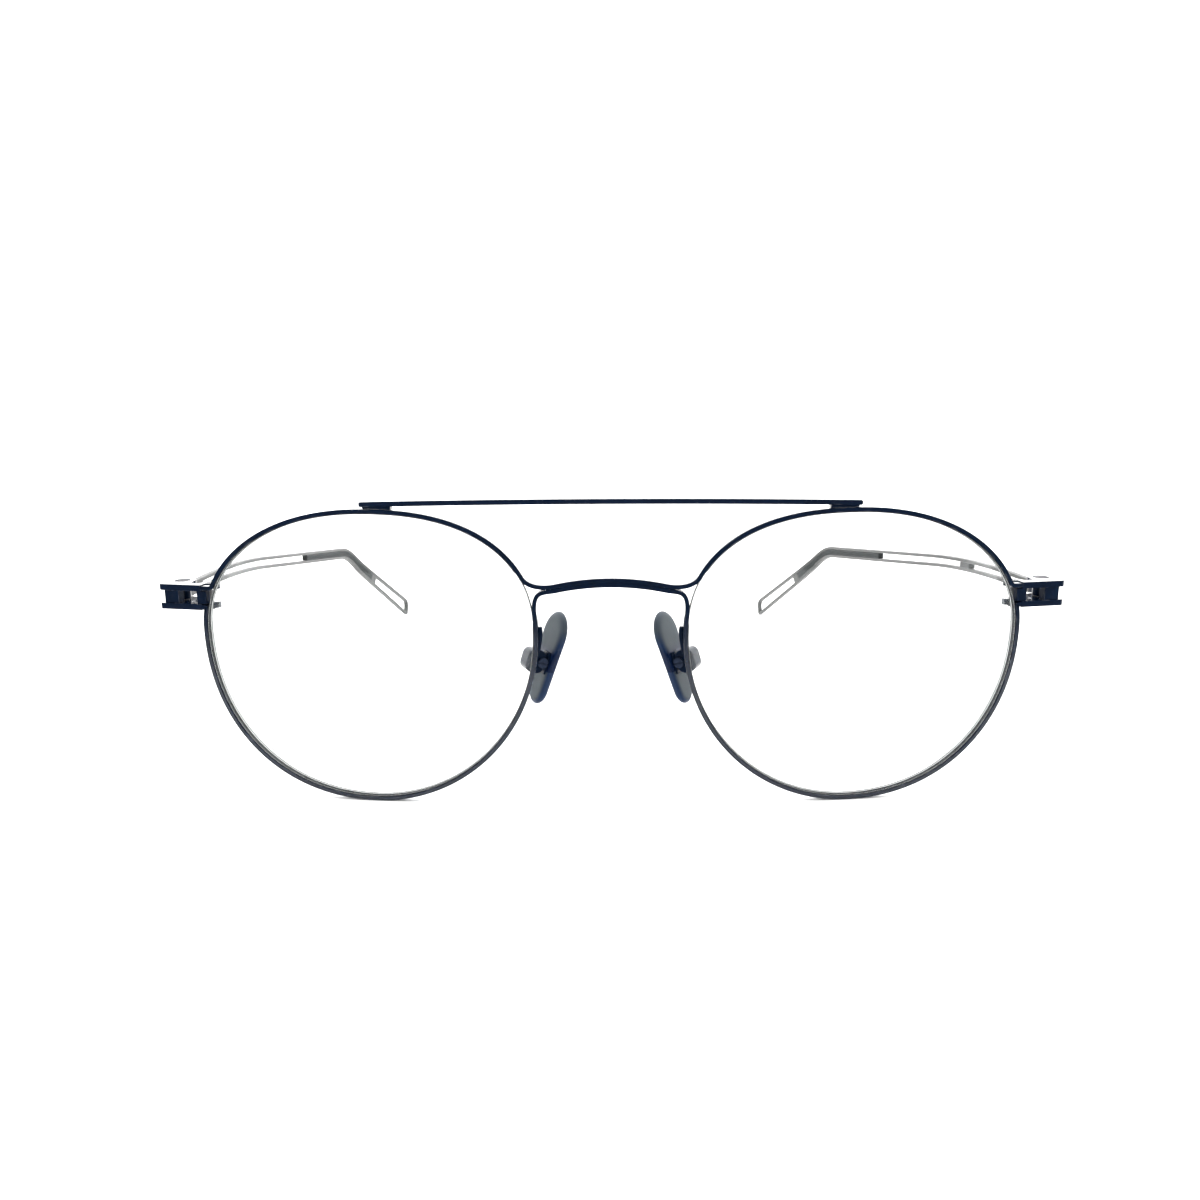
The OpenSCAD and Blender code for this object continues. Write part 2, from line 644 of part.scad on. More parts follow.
module pad_holder(hand) {
    color(NAVY) at_pad(hand) difference() {
        rotate([90, 0, 0]) linear_extrude(holder_w, center = true) {
            x0 = holder_open + holder_round;
            x1 = holder_back - holder_round;
            z1 = holder_h / 2 - holder_round;
            for (x = [x0, x1], z = [-z1, z1]) translate([x, z]) circle(r = holder_round, $fn = round_fn);
            translate([holder_open, -z1]) square([holder_back - holder_open, 2 * z1]);
            translate([x0, -holder_h / 2]) square([x1 - x0, holder_h]);
        }
        translate([holder_open - past, -tongue_t / 2 - pad_play, -holder_h])
            cube([tongue_r + fork_floor - holder_open + past, tongue_t + 2 * pad_play, 2 * holder_h]);
        rotate([90, 0, 0]) cylinder(d = pad_screw_d, h = holder_w + past, center = true, $fn = round_fn);
    }
}

module pad_lug(hand) {
    color(NAVY) at_pad(hand) difference() {
        union() {
            translate([pad_face, -lug_base_w / 2, -lug_base_l / 2])
                cube([lug_base_t, lug_base_w, lug_base_l]);
            translate([pad_face + lug_base_t / 2, -tongue_t / 2, -tongue_r])
                cube([-pad_face - lug_base_t / 2, tongue_t, 2 * tongue_r]);
            rotate([90, 0, 0]) cylinder(r = tongue_r, h = tongue_t, center = true, $fn = round_fn);
        }
        rotate([90, 0, 0])
            cylinder(d = pad_screw_d + 2 * hinge_play, h = tongue_t + past, center = true, $fn = round_fn);
    }
}

module pad_screw(hand) {
    front = -holder_w / 2;
    color(STEEL) at_pad(hand) rotate([-90, 0, 0]) difference() {
        union() {
            translate([0, 0, front]) cylinder(d = pad_screw_d, h = holder_w, $fn = round_fn);
            translate([0, 0, front - head_t]) cylinder(d = pad_head_d, h = head_t, $fn = round_fn);
        }
        translate([-past, -slot_w / 2, front - head_t - past]) cube([2 * past, slot_w, past + slot_d]);
    }
}

module nose_pad(hand) {
    wide_r = pad_wide / 2;
    narrow_r = pad_narrow / 2;
    full_t = pad_dome * pad_t / 2;
    color(SMOKE) at_pad(hand) translate([pad_face - pad_t / 2, pad_shift[0], pad_shift[1]]) difference() {
        hull() {
            translate([0, 0, pad_l / 2 - wide_r])
                scale([full_t / wide_r, 1, 1]) sphere(r = wide_r, $fn = pad_fn);
            translate([0, 0, narrow_r - pad_l / 2])
                scale([full_t / narrow_r, 1, 1]) sphere(r = narrow_r, $fn = pad_fn);
        }
        translate([pad_t / 2, -pad_l, -pad_l]) cube([pad_l, 2 * pad_l, 2 * pad_l]);
        translate([-pad_t / 2 - pad_l, -pad_l, -pad_l]) cube([pad_l, 2 * pad_l, 2 * pad_l]);
    }
}

upper_rim_wire();
lower_rim_wire();
brow_bar();
brow_spacer(RIGHT);  // right_brow_spacer
brow_spacer(LEFT);  // left_brow_spacer
lens(RIGHT);  // right_lens
lens(LEFT);  // left_lens
plate(RIGHT, plate_up, true);  // right_upper_plate
plate(LEFT, plate_up, true);  // left_upper_plate
plate(RIGHT, plate_low, false);  // right_lower_plate
plate(LEFT, plate_low, false);  // left_lower_plate
closing_block(RIGHT);  // right_closing_block
closing_block(LEFT);  // left_closing_block
closing_screw(RIGHT);  // right_closing_screw
closing_screw(LEFT);  // left_closing_screw
hinge_post(RIGHT);  // right_hinge_post
hinge_post(LEFT);  // left_hinge_post
hinge_screw(RIGHT);  // right_hinge_screw
hinge_screw(LEFT);  // left_hinge_screw
hinge_washers(RIGHT);  // right_hinge_washers
hinge_washers(LEFT);  // left_hinge_washers
hinge_knuckle(RIGHT);  // right_hinge_knuckle
hinge_knuckle(LEFT);  // left_hinge_knuckle
temple_wire(RIGHT);  // right_temple_wire
temple_wire(LEFT);  // left_temple_wire
temple_spacer();  // left_temple_spacer
ear_insert(RIGHT);  // right_ear_insert
ear_insert(LEFT);  // left_ear_insert
tail_block(RIGHT);  // right_tail_block
tail_block(LEFT);  // left_tail_block
pad_arm(RIGHT);  // right_pad_arm
pad_arm(LEFT);  // left_pad_arm
pad_holder(RIGHT);  // right_pad_holder
pad_holder(LEFT);  // left_pad_holder
pad_lug(RIGHT);  // right_pad_lug
pad_lug(LEFT);  // left_pad_lug
pad_screw(RIGHT);  // right_pad_screw
pad_screw(LEFT);  // left_pad_screw
nose_pad(RIGHT);  // right_nose_pad
nose_pad(LEFT);  // left_nose_pad
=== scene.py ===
"""Studio scene of a double-wire metal eyeglass frame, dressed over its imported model."""

import functools
import logging
import math
from dataclasses import dataclass
from enum import Enum
from typing import Any, Callable, Iterable, Sequence

import bmesh
import bpy
from mathutils import Matrix, Vector

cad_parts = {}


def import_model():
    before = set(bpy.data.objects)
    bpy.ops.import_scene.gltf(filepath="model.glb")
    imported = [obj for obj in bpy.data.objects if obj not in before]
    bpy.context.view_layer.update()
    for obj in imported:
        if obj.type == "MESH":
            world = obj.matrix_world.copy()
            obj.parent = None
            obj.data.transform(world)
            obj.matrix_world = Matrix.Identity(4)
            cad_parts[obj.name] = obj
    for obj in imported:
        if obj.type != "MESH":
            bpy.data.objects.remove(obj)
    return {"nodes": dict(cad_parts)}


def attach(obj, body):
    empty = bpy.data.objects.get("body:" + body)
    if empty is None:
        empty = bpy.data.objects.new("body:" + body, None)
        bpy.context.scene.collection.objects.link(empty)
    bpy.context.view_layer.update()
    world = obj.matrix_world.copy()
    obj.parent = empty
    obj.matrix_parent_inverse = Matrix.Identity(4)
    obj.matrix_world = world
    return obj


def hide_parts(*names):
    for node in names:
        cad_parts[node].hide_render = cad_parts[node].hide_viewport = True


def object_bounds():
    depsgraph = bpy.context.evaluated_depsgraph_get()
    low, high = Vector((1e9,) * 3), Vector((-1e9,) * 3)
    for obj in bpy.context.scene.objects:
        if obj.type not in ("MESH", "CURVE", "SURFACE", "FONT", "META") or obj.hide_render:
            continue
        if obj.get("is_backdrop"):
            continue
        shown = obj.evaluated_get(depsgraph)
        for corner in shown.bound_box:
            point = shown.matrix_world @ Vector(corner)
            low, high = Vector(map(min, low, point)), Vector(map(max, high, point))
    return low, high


log = logging.getLogger("eyeglass_frame")

MM = 0.001
WHITE = (1.0, 1.0, 1.0)
FLAT_OVER_STEP = 2.2
Colour = tuple[float, float, float]
Spot = tuple[float, float, float]
Flat = tuple[float, float]
Vert, Edge, Mesh = bmesh.types.BMVert, bmesh.types.BMEdge, bmesh.types.BMesh
Socket, Material = bpy.types.NodeSocket, bpy.types.Material


class Hand(Enum):
    """The wearer's side that a piece is made for."""

    RIGHT = -1
    LEFT = 1

    @property
    def word(self) -> str:
        """The side as the model's names spell it."""
        return self.name.lower()


class Slot(Enum):
    """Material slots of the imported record."""

    LACQUER = "lacquered_metal"
    STEEL = "screw_steel"
    LENS = "lens"
    EAR = "ear_insert"
    PAD = "nose_pad"


class Body(Enum):
    """Moving bodies that the pieces ride on."""

    FRONT = "front"
    TEMPLE = "temple"
    PAD = "pad"

    def of(self, hand: Hand) -> str:
        """Name of this body on one side."""
        return self.value if self is Body.FRONT else f"{hand.word}_{self.value}"


def mix(a: float, b: float, t: float) -> float:
    """Value between a and b at the share t."""
    return a + (b - a) * t


def ramp(x: float, a: float, b: float) -> float:
    """Share of the way from a to b, held at its ends."""
    return min(1.0, max(0.0, (x - a) / (b - a)))


def signed_power(x: float, e: float) -> float:
    """Power of the size of x, with the sign of x."""
    return math.copysign(abs(x) ** e, x)


def shares(count: int) -> list[float]:
    """Even shares from 0 to 1."""
    return [i / count for i in range(count + 1)]


def curve(points: Sequence[Sequence[float]], t: float) -> tuple[float, ...]:
    """Point of a Bezier curve, at the share t of the way along its control points."""
    row = [tuple(mix(p, q, t) for p, q in zip(a, b)) for a, b in zip(points, points[1:])]
    return curve(row, t) if row[1:] else row[0]


def moved(p: Flat, way: Flat, length: float) -> Flat:
    """The point p, moved along a direction."""
    return p[0] + length * way[0], p[1] + length * way[1]


def direction(p: Flat, q: Flat) -> Flat:
    """Unit direction from p to q."""
    d = math.hypot(q[0] - p[0], q[1] - p[1])
    return (q[0] - p[0]) / d, (q[1] - p[1]) / d


def box(x0: float, x1: float, y0: float, y1: float) -> list[Flat]:
    """Corners of an upright box."""
    return [(x0, y0), (x1, y0), (x1, y1), (x0, y1)]


# Shader nodes


class Value:
    """A shader number, whose arithmetic adds Math nodes."""

    def __init__(self, board: "Board", socket: Socket) -> None:
        """Wraps a socket of a board."""
        self.board = board
        self.socket = socket

    def _math(self, operation: str, first: Any, second: Any) -> "Value":
        """Result of a new Math node."""
        return self.board.value("Math", 0, {0: first, 1: second}, operation=operation)

    def __add__(self, other: Any) -> "Value":
        """Sum."""
        return self._math("ADD", self, other)

    def __radd__(self, other: Any) -> "Value":
        """Sum, from the right."""
        return self._math("ADD", other, self)

    def __sub__(self, other: Any) -> "Value":
        """Difference."""
        return self._math("SUBTRACT", self, other)

    def __rsub__(self, other: Any) -> "Value":
        """Difference, from the right."""
        return self._math("SUBTRACT", other, self)

    def __mul__(self, other: Any) -> "Value":
        """Product."""
        return self._math("MULTIPLY", self, other)

    def __rmul__(self, other: Any) -> "Value":
        """Product, from the right."""
        return self._math("MULTIPLY", other, self)

    def __pow__(self, other: Any) -> "Value":
        """Power."""
        return self._math("POWER", self, other)

    def clamped(self) -> "Value":
        """The number, held between 0 and 1."""
        return self.board.value("Clamp", 0, {"Value": self})


class Board:
    """The node tree of one material."""

    def __init__(self, name: str, offset: Spot = (0, 0, 0), turn: Spot = (0, 0, 0)) -> None:
        """Starts a material whose patterns lie on object coordinates.

        Args:
            name: Name of the material.
            offset: Point in metres that becomes the patterns' middle.
            turn: Turn of the patterns about the three axes, in radians.
        """
        self.material = bpy.data.materials.new(name)
        self.material.use_nodes = True
        self.tree = self.material.node_tree
        self.tree.nodes.clear()
        source = self.node("TexCoord", {}).outputs["Object"]
        middle = self.node("VectorMath", {0: source, 1: offset}, operation="SUBTRACT").outputs[0]
        self.place = self.node("Mapping", {"Vector": middle, "Rotation": turn}).outputs[0]

    def node(self, kind: str, inputs: dict[Any, Any], **settings: Any) -> bpy.types.Node:
        """Adds one node.

        Args:
            kind: The node's type, without its usual first words.
            inputs: Values or links of its sockets, by name or number.
            settings: Its properties, and the place and grey of a ramp's two stops under the name stops.

        Returns:
            The node.
        """
        node = self.tree.nodes.new("ShaderNode" + kind)
        for i, (place, grey) in enumerate(settings.pop("stops", ())):
            stop = node.color_ramp.elements[i]
            stop.position, stop.color = place, (grey, grey, grey, 1.0)
        for name, value in settings.items():
            setattr(node, name, value)
        for key, value in inputs.items():
            self._feed(node.inputs[key], value)
        return node

    def _feed(self, socket: Socket, value: Any) -> None:
        """Sets or links one socket.

        Args:
            socket: The socket to feed.
            value: A number, a colour, a socket or a shader number.
        """
        if isinstance(value, Value):
            value = value.socket
        if isinstance(value, Socket):
            self.tree.links.new(value, socket)
        elif socket.type == "RGBA" and len(value) == 3:
            socket.default_value = (*value, 1.0)
        else:
            socket.default_value = value

    def value(self, kind: str, out: Any, inputs: dict[Any, Any], **settings: Any) -> Value:
        """One output of a new node, as a number."""
        return Value(self, self.node(kind, inputs, **settings).outputs[out])

    def height(self) -> Value:
        """Height over the floor, in metres."""
        return self.value("SeparateXYZ", 2, {0: self.place})

    def noise(self, size_mm: float, detail: float = 3.0) -> Value:
        """Noise with features of about one size, and detail finer layers."""
        scale = 1 / (size_mm * MM)
        return self.value("TexNoise", 0, {"Vector": self.place, "Scale": scale, "Detail": detail, "Roughness": 0.55})

    def steps(self, value: Value, span: Flat) -> Value:
        """Value spread from 0 at the start of a span to 1 at its end."""
        return self.value("ValToRGB", 0, {0: value}, stops=[(span[0], 0.0), (span[1], 1.0)])

    def mark(self, name: str) -> Value:
        """A number kept at the points of the mesh."""
        return self.value("Attribute", "Fac", {}, attribute_name=name)

    def tint(self, share: Any, a: Any, b: Any) -> Socket:
        """Colour between a and b, at a share of b."""
        return self.node("Mix", {0: share, 6: a, 7: b}, data_type="RGBA").outputs[2]

    def bump(self, height: Value, depth_mm: float, strength: float) -> Socket:
        """Normal of a fine relief, depth_mm high where it is 1."""
        return self.node("Bump", {"Height": height, "Distance": depth_mm * MM, "Strength": strength}).outputs[0]

    def surface(self, **sockets: Any) -> Material:
        """Ends the tree in one Principled shader.

        Args:
            sockets: Its sockets, with underscores for the spaces in their names.

        Returns:
            The finished material.
        """
        shader = self.node("BsdfPrincipled", {name.replace("_", " "): value for name, value in sockets.items()})
        self.node("OutputMaterial", {"Surface": shader.outputs[0]})
        return self.material


# Finishes


@dataclass(frozen=True)
class Finish:
    """Name of a finish, its slot, and the number that it reads at the points of a mesh."""

    name: str
    slot: Slot
    mark: str = "wear"


@dataclass(frozen=True)
class Lacquer(Finish):
    """Navy-black satin lacquer over metal, thin along the edges and glossier near the floor."""

    name: str = "navy_lacquer"
    slot: Slot = Slot.LACQUER
    deep: Colour = (0.0009, 0.0032, 0.0100)
    light: Colour = (0.0016, 0.0078, 0.0230)
    bare: Colour = (0.30, 0.31, 0.34)
    rubbed: Flat = (0.50, 0.72)
    worn: float = 0.14
    gloss: float = 0.16
    sheen: float = 0.03
    graze: float = 1.0
    grazing: Flat = (0.50, 0.78)
    coat: float = 0.75
    coat_below: float = 0.030
    coat_fade: float = 90.0

    def material(self) -> Material:
        """Builds the lacquer.

        Returns:
            The material.
        """
        board = Board(self.name)
        cloud = board.noise(4.0)
        speck = board.noise(0.35, detail=4.0)
        peel = board.noise(0.12, detail=2.0)
        rub = board.steps(board.noise(1.7, detail=5.0), self.rubbed)
        worn = ((board.mark(self.mark) ** 4) * rub * self.worn).clamped()
        low = ((self.coat_below - board.height()) * self.coat_fade).clamped()
        slant = board.steps(board.value("LayerWeight", "Facing", {"Blend": 0.5}), self.grazing)
        return board.surface(
            Base_Color=board.tint(worn, board.tint(cloud, self.deep, self.light), self.bare),
            Metallic=worn * 0.9,
            Roughness=self.gloss + speck * 0.08 + cloud * 0.05 + worn * 0.12,
            Specular_IOR_Level=self.sheen,
            Coat_Weight=(low * self.coat + slant * self.graze).clamped(),
            Coat_Roughness=0.14,
            Normal=board.bump(peel + speck * 0.6, 0.003, 0.25),
        )


@dataclass(frozen=True)
class SatinLacquer(Lacquer):
    """The same lacquer on the temple wire, duller, with a grey base colour that is painted sheen standing in for the
    pale grazing reflection along the wire.
    """

    name: str = "satin_navy_lacquer"
    # Grey base colours: painted sheen in place of the wire's pale grazing reflection.
    deep: Colour = (0.050, 0.051, 0.050)
    light: Colour = (0.078, 0.080, 0.077)
    gloss: float = 0.34
    sheen: float = 0.15
    graze: float = 0.0
    coat: float = 0.0


PLAIN = Lacquer("plain_navy_lacquer", graze=0.35, coat=0.0)
DULL = SatinLacquer("dull_navy_lacquer", Slot.STEEL, deep=(0.024, 0.025, 0.026), light=(0.038, 0.040, 0.041),
                    sheen=0.10)


@dataclass(frozen=True)
class TurnedSteel(Finish):
    """Bare screw steel with fine turning marks round one axis."""

    slot: Slot = Slot.STEEL
    middle: Spot = (0.0, 0.0, 0.0)
    turn: Spot = (0.0, 0.0, 0.0)
    tone: Colour = (0.16, 0.16, 0.165)
    dark: Colour = (0.05, 0.05, 0.055)
    rings_per_metre: float = 2600.0

    def material(self) -> Material:
        """Builds the steel.

        Returns:
            The material.
        """
        board = Board(self.name, self.middle, self.turn)
        wave = {"Vector": board.place, "Scale": self.rings_per_metre, "Distortion": 2.0, "Detail": 3.0}
        rings = board.value("TexWave", 1, wave, wave_type="RINGS", rings_direction="Z")
        stain = board.noise(0.6, detail=4.0)
        return board.surface(
            Base_Color=board.tint((stain * 0.6 + rings * 0.25).clamped(), self.tone, self.dark),
            Metallic=0.6,
            Roughness=0.46 + stain * 0.16 + rings * 0.06,
            Specular_IOR_Level=0.15,
            Normal=board.bump(rings + stain, 0.003, 0.4),
        )


@dataclass(frozen=True)
class ClearLens(Finish):
    """Clear hard lens, almost unseen but for its reflections and its edge, which carries painted shade and painted
    light.
    """

    name: str = "clear_lens"
    slot: Slot = Slot.LENS
    mark: str = "edge"
    body: Colour = (0.86, 0.90, 0.90)
    # The rear colour is painted light on the rear land of the edge; the front and groove colours are painted shade of
    # the edge where it sits in the rim's groove.
    rear: Colour = (0.95, 0.95, 0.94)
    front: Colour = (0.030, 0.032, 0.032)
    groove: Colour = (0.004, 0.005, 0.006)
    covered: Flat = (0.08, 0.20)
    grooved: Flat = (0.45, 0.55)
    ground: Flat = (0.70, 0.80)
    veil: float = 0.004
    glance: float = 0.6

    def material(self) -> Material:
        """Builds the lens.

        Returns:
            The material.
        """
        board = Board(self.name)
        edge = board.mark(self.mark)
        # Masks of the edge: the covered part, the painted groove shade and the painted light on the rear land.
        cover, deep, lit_rear_share = (board.steps(edge, span) for span in (self.covered, self.grooved, self.ground))
        shaded_edge_colour = board.tint(deep, self.front, self.groove)
        haze = board.noise(9.0)
        glance = board.value("Fresnel", 0, {"IOR": 1.5})
        return board.surface(
            Base_Color=board.tint(lit_rear_share, board.tint(cover, self.body, shaded_edge_colour), self.rear),
            Metallic=1.0 - cover,
            Roughness=0.02 + haze * 0.015 + cover * 0.4,
            Alpha=(glance * self.glance + haze * self.veil + cover * 0.9).clamped(),
            Specular_IOR_Level=0.4,
        )


@dataclass(frozen=True)
class SoftSleeve(Finish):
    """Matte moulded ear insert with a fine skin."""

    name: str = "soft_sleeve"
    slot: Slot = Slot.EAR
    tone: Colour = (0.018, 0.021, 0.022)
    worn: Colour = (0.034, 0.038, 0.039)

    def material(self) -> Material:
        """Builds the sleeve.

        Returns:
            The material.
        """
        board = Board(self.name)
        skin = board.noise(0.14, detail=4.0)
        cloud = board.noise(5.0)
        edge = board.mark(self.mark) ** 3
        return board.surface(
            Base_Color=board.tint((cloud * 0.5 + edge * 0.5).clamped(), self.tone, self.worn),
            Roughness=0.62 + skin * 0.22 - edge * 0.10,
            Specular_IOR_Level=0.10,
            Normal=board.bump(skin, 0.012, 0.5),
        )


@dataclass(frozen=True)
class PadRubber(Finish):
    """Grey pad rubber: matte on its flat sides; dark round its edge, partly the rubber's own tone and partly painted
    reflection, with a painted lighter top; and a painted dark patch over the lug, standing for the lug seen through
    the rubber and its shade.
    """

    name: str = "pad_rubber"
    slot: Slot = Slot.PAD
    mark: str = "band"
    face: Colour = (0.041, 0.051, 0.059)
    dim: Colour = (0.029, 0.039, 0.049)
    # The rim colour is partly the rubber's own dark tone and partly a painted dark reflection; above a height it gives
    # way to the face colour, a painted lighter top.
    band: Colour = (0.007, 0.019, 0.054)
    band_below: float = 0.0262
    band_fade: float = 450.0
    # The core colour is painted: it stands for the lug seen through the rubber together with the shade round it,
    # between two heights.
    core: Colour = (0.0022, 0.0080, 0.032)
    core_from: float = 0.0197
    core_rise: float = 6000.0
    core_to: float = 0.0238
    core_fade: float = 700.0

    def material(self) -> Material:
        """Builds the rubber.

        Returns:
            The material.
        """
        board = Board(self.name)
        skin = board.noise(0.10)
        cloud = board.noise(2.2)
        height = board.height()
        # Painted patch of the lug seen through the rubber, with its shade.
        low_edge = ((height - self.core_from) * self.core_rise).clamped()
        core = low_edge * ((self.core_to - height) * self.core_fade).clamped()
        # Painted lighter top: the rim colour fades out above a height.
        rim_under_lit_top = ((self.band_below - height) * self.band_fade).clamped()
        band = board.mark(self.mark) * (rim_under_lit_top * 0.85 + 0.15)
        face = board.tint(cloud * 0.6, self.face, self.dim)
        return board.surface(
            Base_Color=board.tint(core, board.tint(band, face, self.band), self.core),
            Roughness=0.50 + skin * 0.15 - band * 0.22 - core * 0.2,
            Specular_IOR_Level=0.14,
            Normal=board.bump(skin, 0.005, 0.3),
        )


@dataclass(frozen=True)
class StudioPaper:
    """Plain pale paper of the floor and the wall behind."""

    tone: Colour = (0.93, 0.93, 0.925)
    fibres: Colour = (0.915, 0.915, 0.912)

    def material(self) -> Material:
        """Builds the paper.

        Returns:
            The material.
        """
        board = Board("studio_paper")
        fibre = board.noise(1.2, detail=5.0)
        return board.surface(
            Base_Color=board.tint(fibre * 0.4, self.tone, self.fibres),
            Roughness=0.85 + fibre * 0.08,
            Normal=board.bump(fibre, 0.02, 0.1),
        )


@dataclass(frozen=True)
class LitCloth:
    """White cloth that glows with the light behind it."""

    glow: float = 2.6
    shade: Colour = (0.93, 0.93, 0.94)

    def material(self) -> Material:
        """Builds the cloth.

        Returns:
            The material.
        """
        board = Board("lit_cloth")
        weave = board.noise(40.0, detail=2.0)
        return board.surface(
            Base_Color=(0.8, 0.8, 0.8),
            Roughness=0.9,
            Emission_Color=board.tint(weave * 0.3, WHITE, self.shade),
            Emission_Strength=self.glow,
        )


@functools.cache
def painted(finish: Any) -> Material:
    """Material of a finish, built at its first use."""
    return finish.material()


# Meshes


class Section:
    """Closed outline of a bar, with rounded corners and marks of wear along them."""

    def __init__(self, corners: Sequence[Flat], rounding: float, rounded: Sequence[int] = range(4),
                 segments: int = 3) -> None:
        """Rounds the corners with one bevel and splits the flats, which are longer than a step of the rounding.

        Args:
            corners: Points of the outline in order, in millimetres.
            rounding: Radius at the rounded corners.
            rounded: Numbers of the corners that are rounded.
            segments: Steps of each rounding.
        """
        bm = bmesh.new()
        verts = [bm.verts.new((x, y, 0)) for x, y in corners]
        bm.faces.new(verts)
        bmesh.ops.bevel(bm, geom=[verts[i] for i in rounded], offset=rounding, offset_type="OFFSET",
                        segments=segments, profile=0.5, affect="VERTICES", material=-1)
        flats = [e for e in bm.edges if e.calc_length() > FLAT_OVER_STEP * rounding / segments]
        inner = set(bmesh.ops.subdivide_edges(bm, edges=flats, cuts=3)["geom_inner"])
        ring = [loop.vert for loop in next(iter(bm.faces)).loops]
        self.points: list[Flat] = [(v.co.x, v.co.y) for v in ring]
        self.marks: list[float] = [0.0 if v in inner else 1.0 for v in ring]
        bm.free()


def split(geom: Sequence[Any]) -> tuple[list[Vert], list[Edge]]:
    """New points of an extrusion, and the edges between them, from all that it made."""
    verts = [g for g in geom if isinstance(g, Vert)]
    return verts, [g for g in geom if isinstance(g, Edge) and set(g.verts) <= set(verts)]


def shell(rings: Sequence[Sequence[Vector]], layer: str, marks: Callable[[int, int], float]) -> Mesh:
    """Closed surface grown from a ring of points, each ring extruded from the one before.

    Args:
        rings: Points of each ring in millimetres, as many in each.
        layer: Name of the number that the points keep.
        marks: That number, by ring and by place in the ring.

    Returns:
        The mesh, closed at its two ends.
    """
    bm = bmesh.new()
    kept = bm.verts.layers.float.new(layer)
    verts = [bm.verts.new(p) for p in rings[0]]
    edges = [bm.edges.new(pair) for pair in zip(verts, verts[1:] + verts[:1])]
    bmesh.ops.contextual_create(bm, geom=edges)
    for row, ring in enumerate(rings):
        if row:
            home = {tuple(v.co): i for i, v in enumerate(verts)}
            fresh, edges = split(bmesh.ops.extrude_edge_only(bm, edges=edges)["geom"])
            for vert in fresh:
                verts[home[tuple(vert.co)]] = vert
        for i, vert in enumerate(verts):
            vert.co = ring[i]
            vert[kept] = marks(row, i)
    bmesh.ops.contextual_create(bm, geom=edges)
    bmesh.ops.recalc_face_normals(bm, faces=bm.faces[:])
    return bm


def carried(path: Sequence[Flat], section: Section,
            to_space: Callable[[float, float, float], Vector]) -> list[list[Vector]]:
    """Rings of a section carried along a flat path.

    Args:
        path: Points of the path.
        section: The section, across the path and in depth.
        to_space: The way from the path's plane and depth to space.

    Returns:
        One ring for each point of the path.
    """
    rings = []
    for before, p, after in zip(path[:1] + path, path, path[1:] + path[-1:]):
        way = direction(before, after)
        rings.append([to_space(p[0] + x * -way[1], depth, p[1] + x * way[0]) for x, depth in section.points])
    return rings


@dataclass
class Workbench:
    """Turns meshes into dressed pieces of the frame, in millimetres and degrees."""

    nodes: dict[str, bpy.types.Object]
    merge: float = 0.001
    flat_angle: float = 0.6
    edge_angle: float = 28.0
    least_flat: float = 0.15
    hold: float = 0.02

    def dress(self, bm: Mesh, name: str, finish: Finish, body: str, *stands_for: str, sharp: float = 40.0) -> None:
        """Makes a piece of a mesh, dresses it and hangs it on its body.

        Args:
            bm: The mesh, which is used up.
            name: Name of the piece.
            finish: Its finish.
            body: Body that it rides on.
            stands_for: Nodes of the model that it replaces.
            sharp: Angle past which an edge stays sharp.
        """
        bmesh.ops.scale(bm, vec=(MM, MM, MM), verts=bm.verts[:])
        piece = hung(bm, name, finish)
        piece.data.set_sharp_from_angle(angle=math.radians(sharp))
        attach(piece, body)
        if stands_for:
            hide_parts(*stands_for)
        log.info("%s: %d faces, rides on %s", name, len(piece.data.polygons), body)

    def refined(self, node: str, rounding: float) -> Mesh:
        """Copy of a node with merged faces and rounded edges, and wear marked along them.

        Args:
            node: Name of the node.
            rounding: Radius along its edges.

        Returns:
            The mesh.
        """
        bm = bmesh.new()
        bm.from_mesh(self.nodes[node].data)
        bmesh.ops.scale(bm, vec=(1 / MM, 1 / MM, 1 / MM), verts=bm.verts[:])
        bmesh.ops.remove_doubles(bm, verts=bm.verts[:], dist=self.merge)
        bmesh.ops.dissolve_limit(bm, angle_limit=math.radians(self.flat_angle), verts=bm.verts[:], edges=bm.edges[:])
        wear = bm.verts.layers.float.new("wear")
        edges = [e for e in bm.edges if e.is_manifold and e.calc_face_angle() > math.radians(self.edge_angle)]
        made = bmesh.ops.bevel(bm, geom=edges, offset=rounding, offset_type="OFFSET", segments=3, profile=0.5,
                               affect="EDGES", clamp_overlap=True, material=-1)
        for vert in made["verts"]:
            vert[wear] = 1.0
        round_faces = set(made["faces"])
        flats = [f for f in bm.faces if f not in round_faces and f.calc_area() > self.least_flat]
        bmesh.ops.inset_individual(bm, faces=flats, thickness=self.hold, use_even_offset=True)
        for vert in (v for face in flats for v in face.verts):
            vert[wear] = 0.0
        return bm


def hung(bm: Mesh, name: str, finish: Any) -> bpy.types.Object:
    """Smooth object of a mesh, in its finish.

    Args:
        bm: The mesh, which is used up.
        name: Name of the object.
        finish: Its finish.

    Returns:
        The object.
    """
    for face in bm.faces:
        face.smooth = True
    mesh = bpy.data.meshes.new(name)
    bm.to_mesh(mesh)
    bm.free()
    mesh.materials.append(painted(finish))
    made = bpy.data.objects.new(name, mesh)
    bpy.context.scene.collection.objects.link(made)
    return made


# The frame's own lines, in millimetres and degrees


@dataclass(frozen=True)
class Route:
    """One rim wire's way: 1 over the lens or -1 under it, its plate's height, and where and how it leaves the rim."""

    word: str
    way: int
    plate_v: float
    leaves: float
    ease: float
    bridge_ease: float


UPPER = Route("upper", 1, 6.5, 155.0, 1.5, 2.3)
LOWER = Route("lower", -1, 3.6, 174.0, 4.6, 2.0)


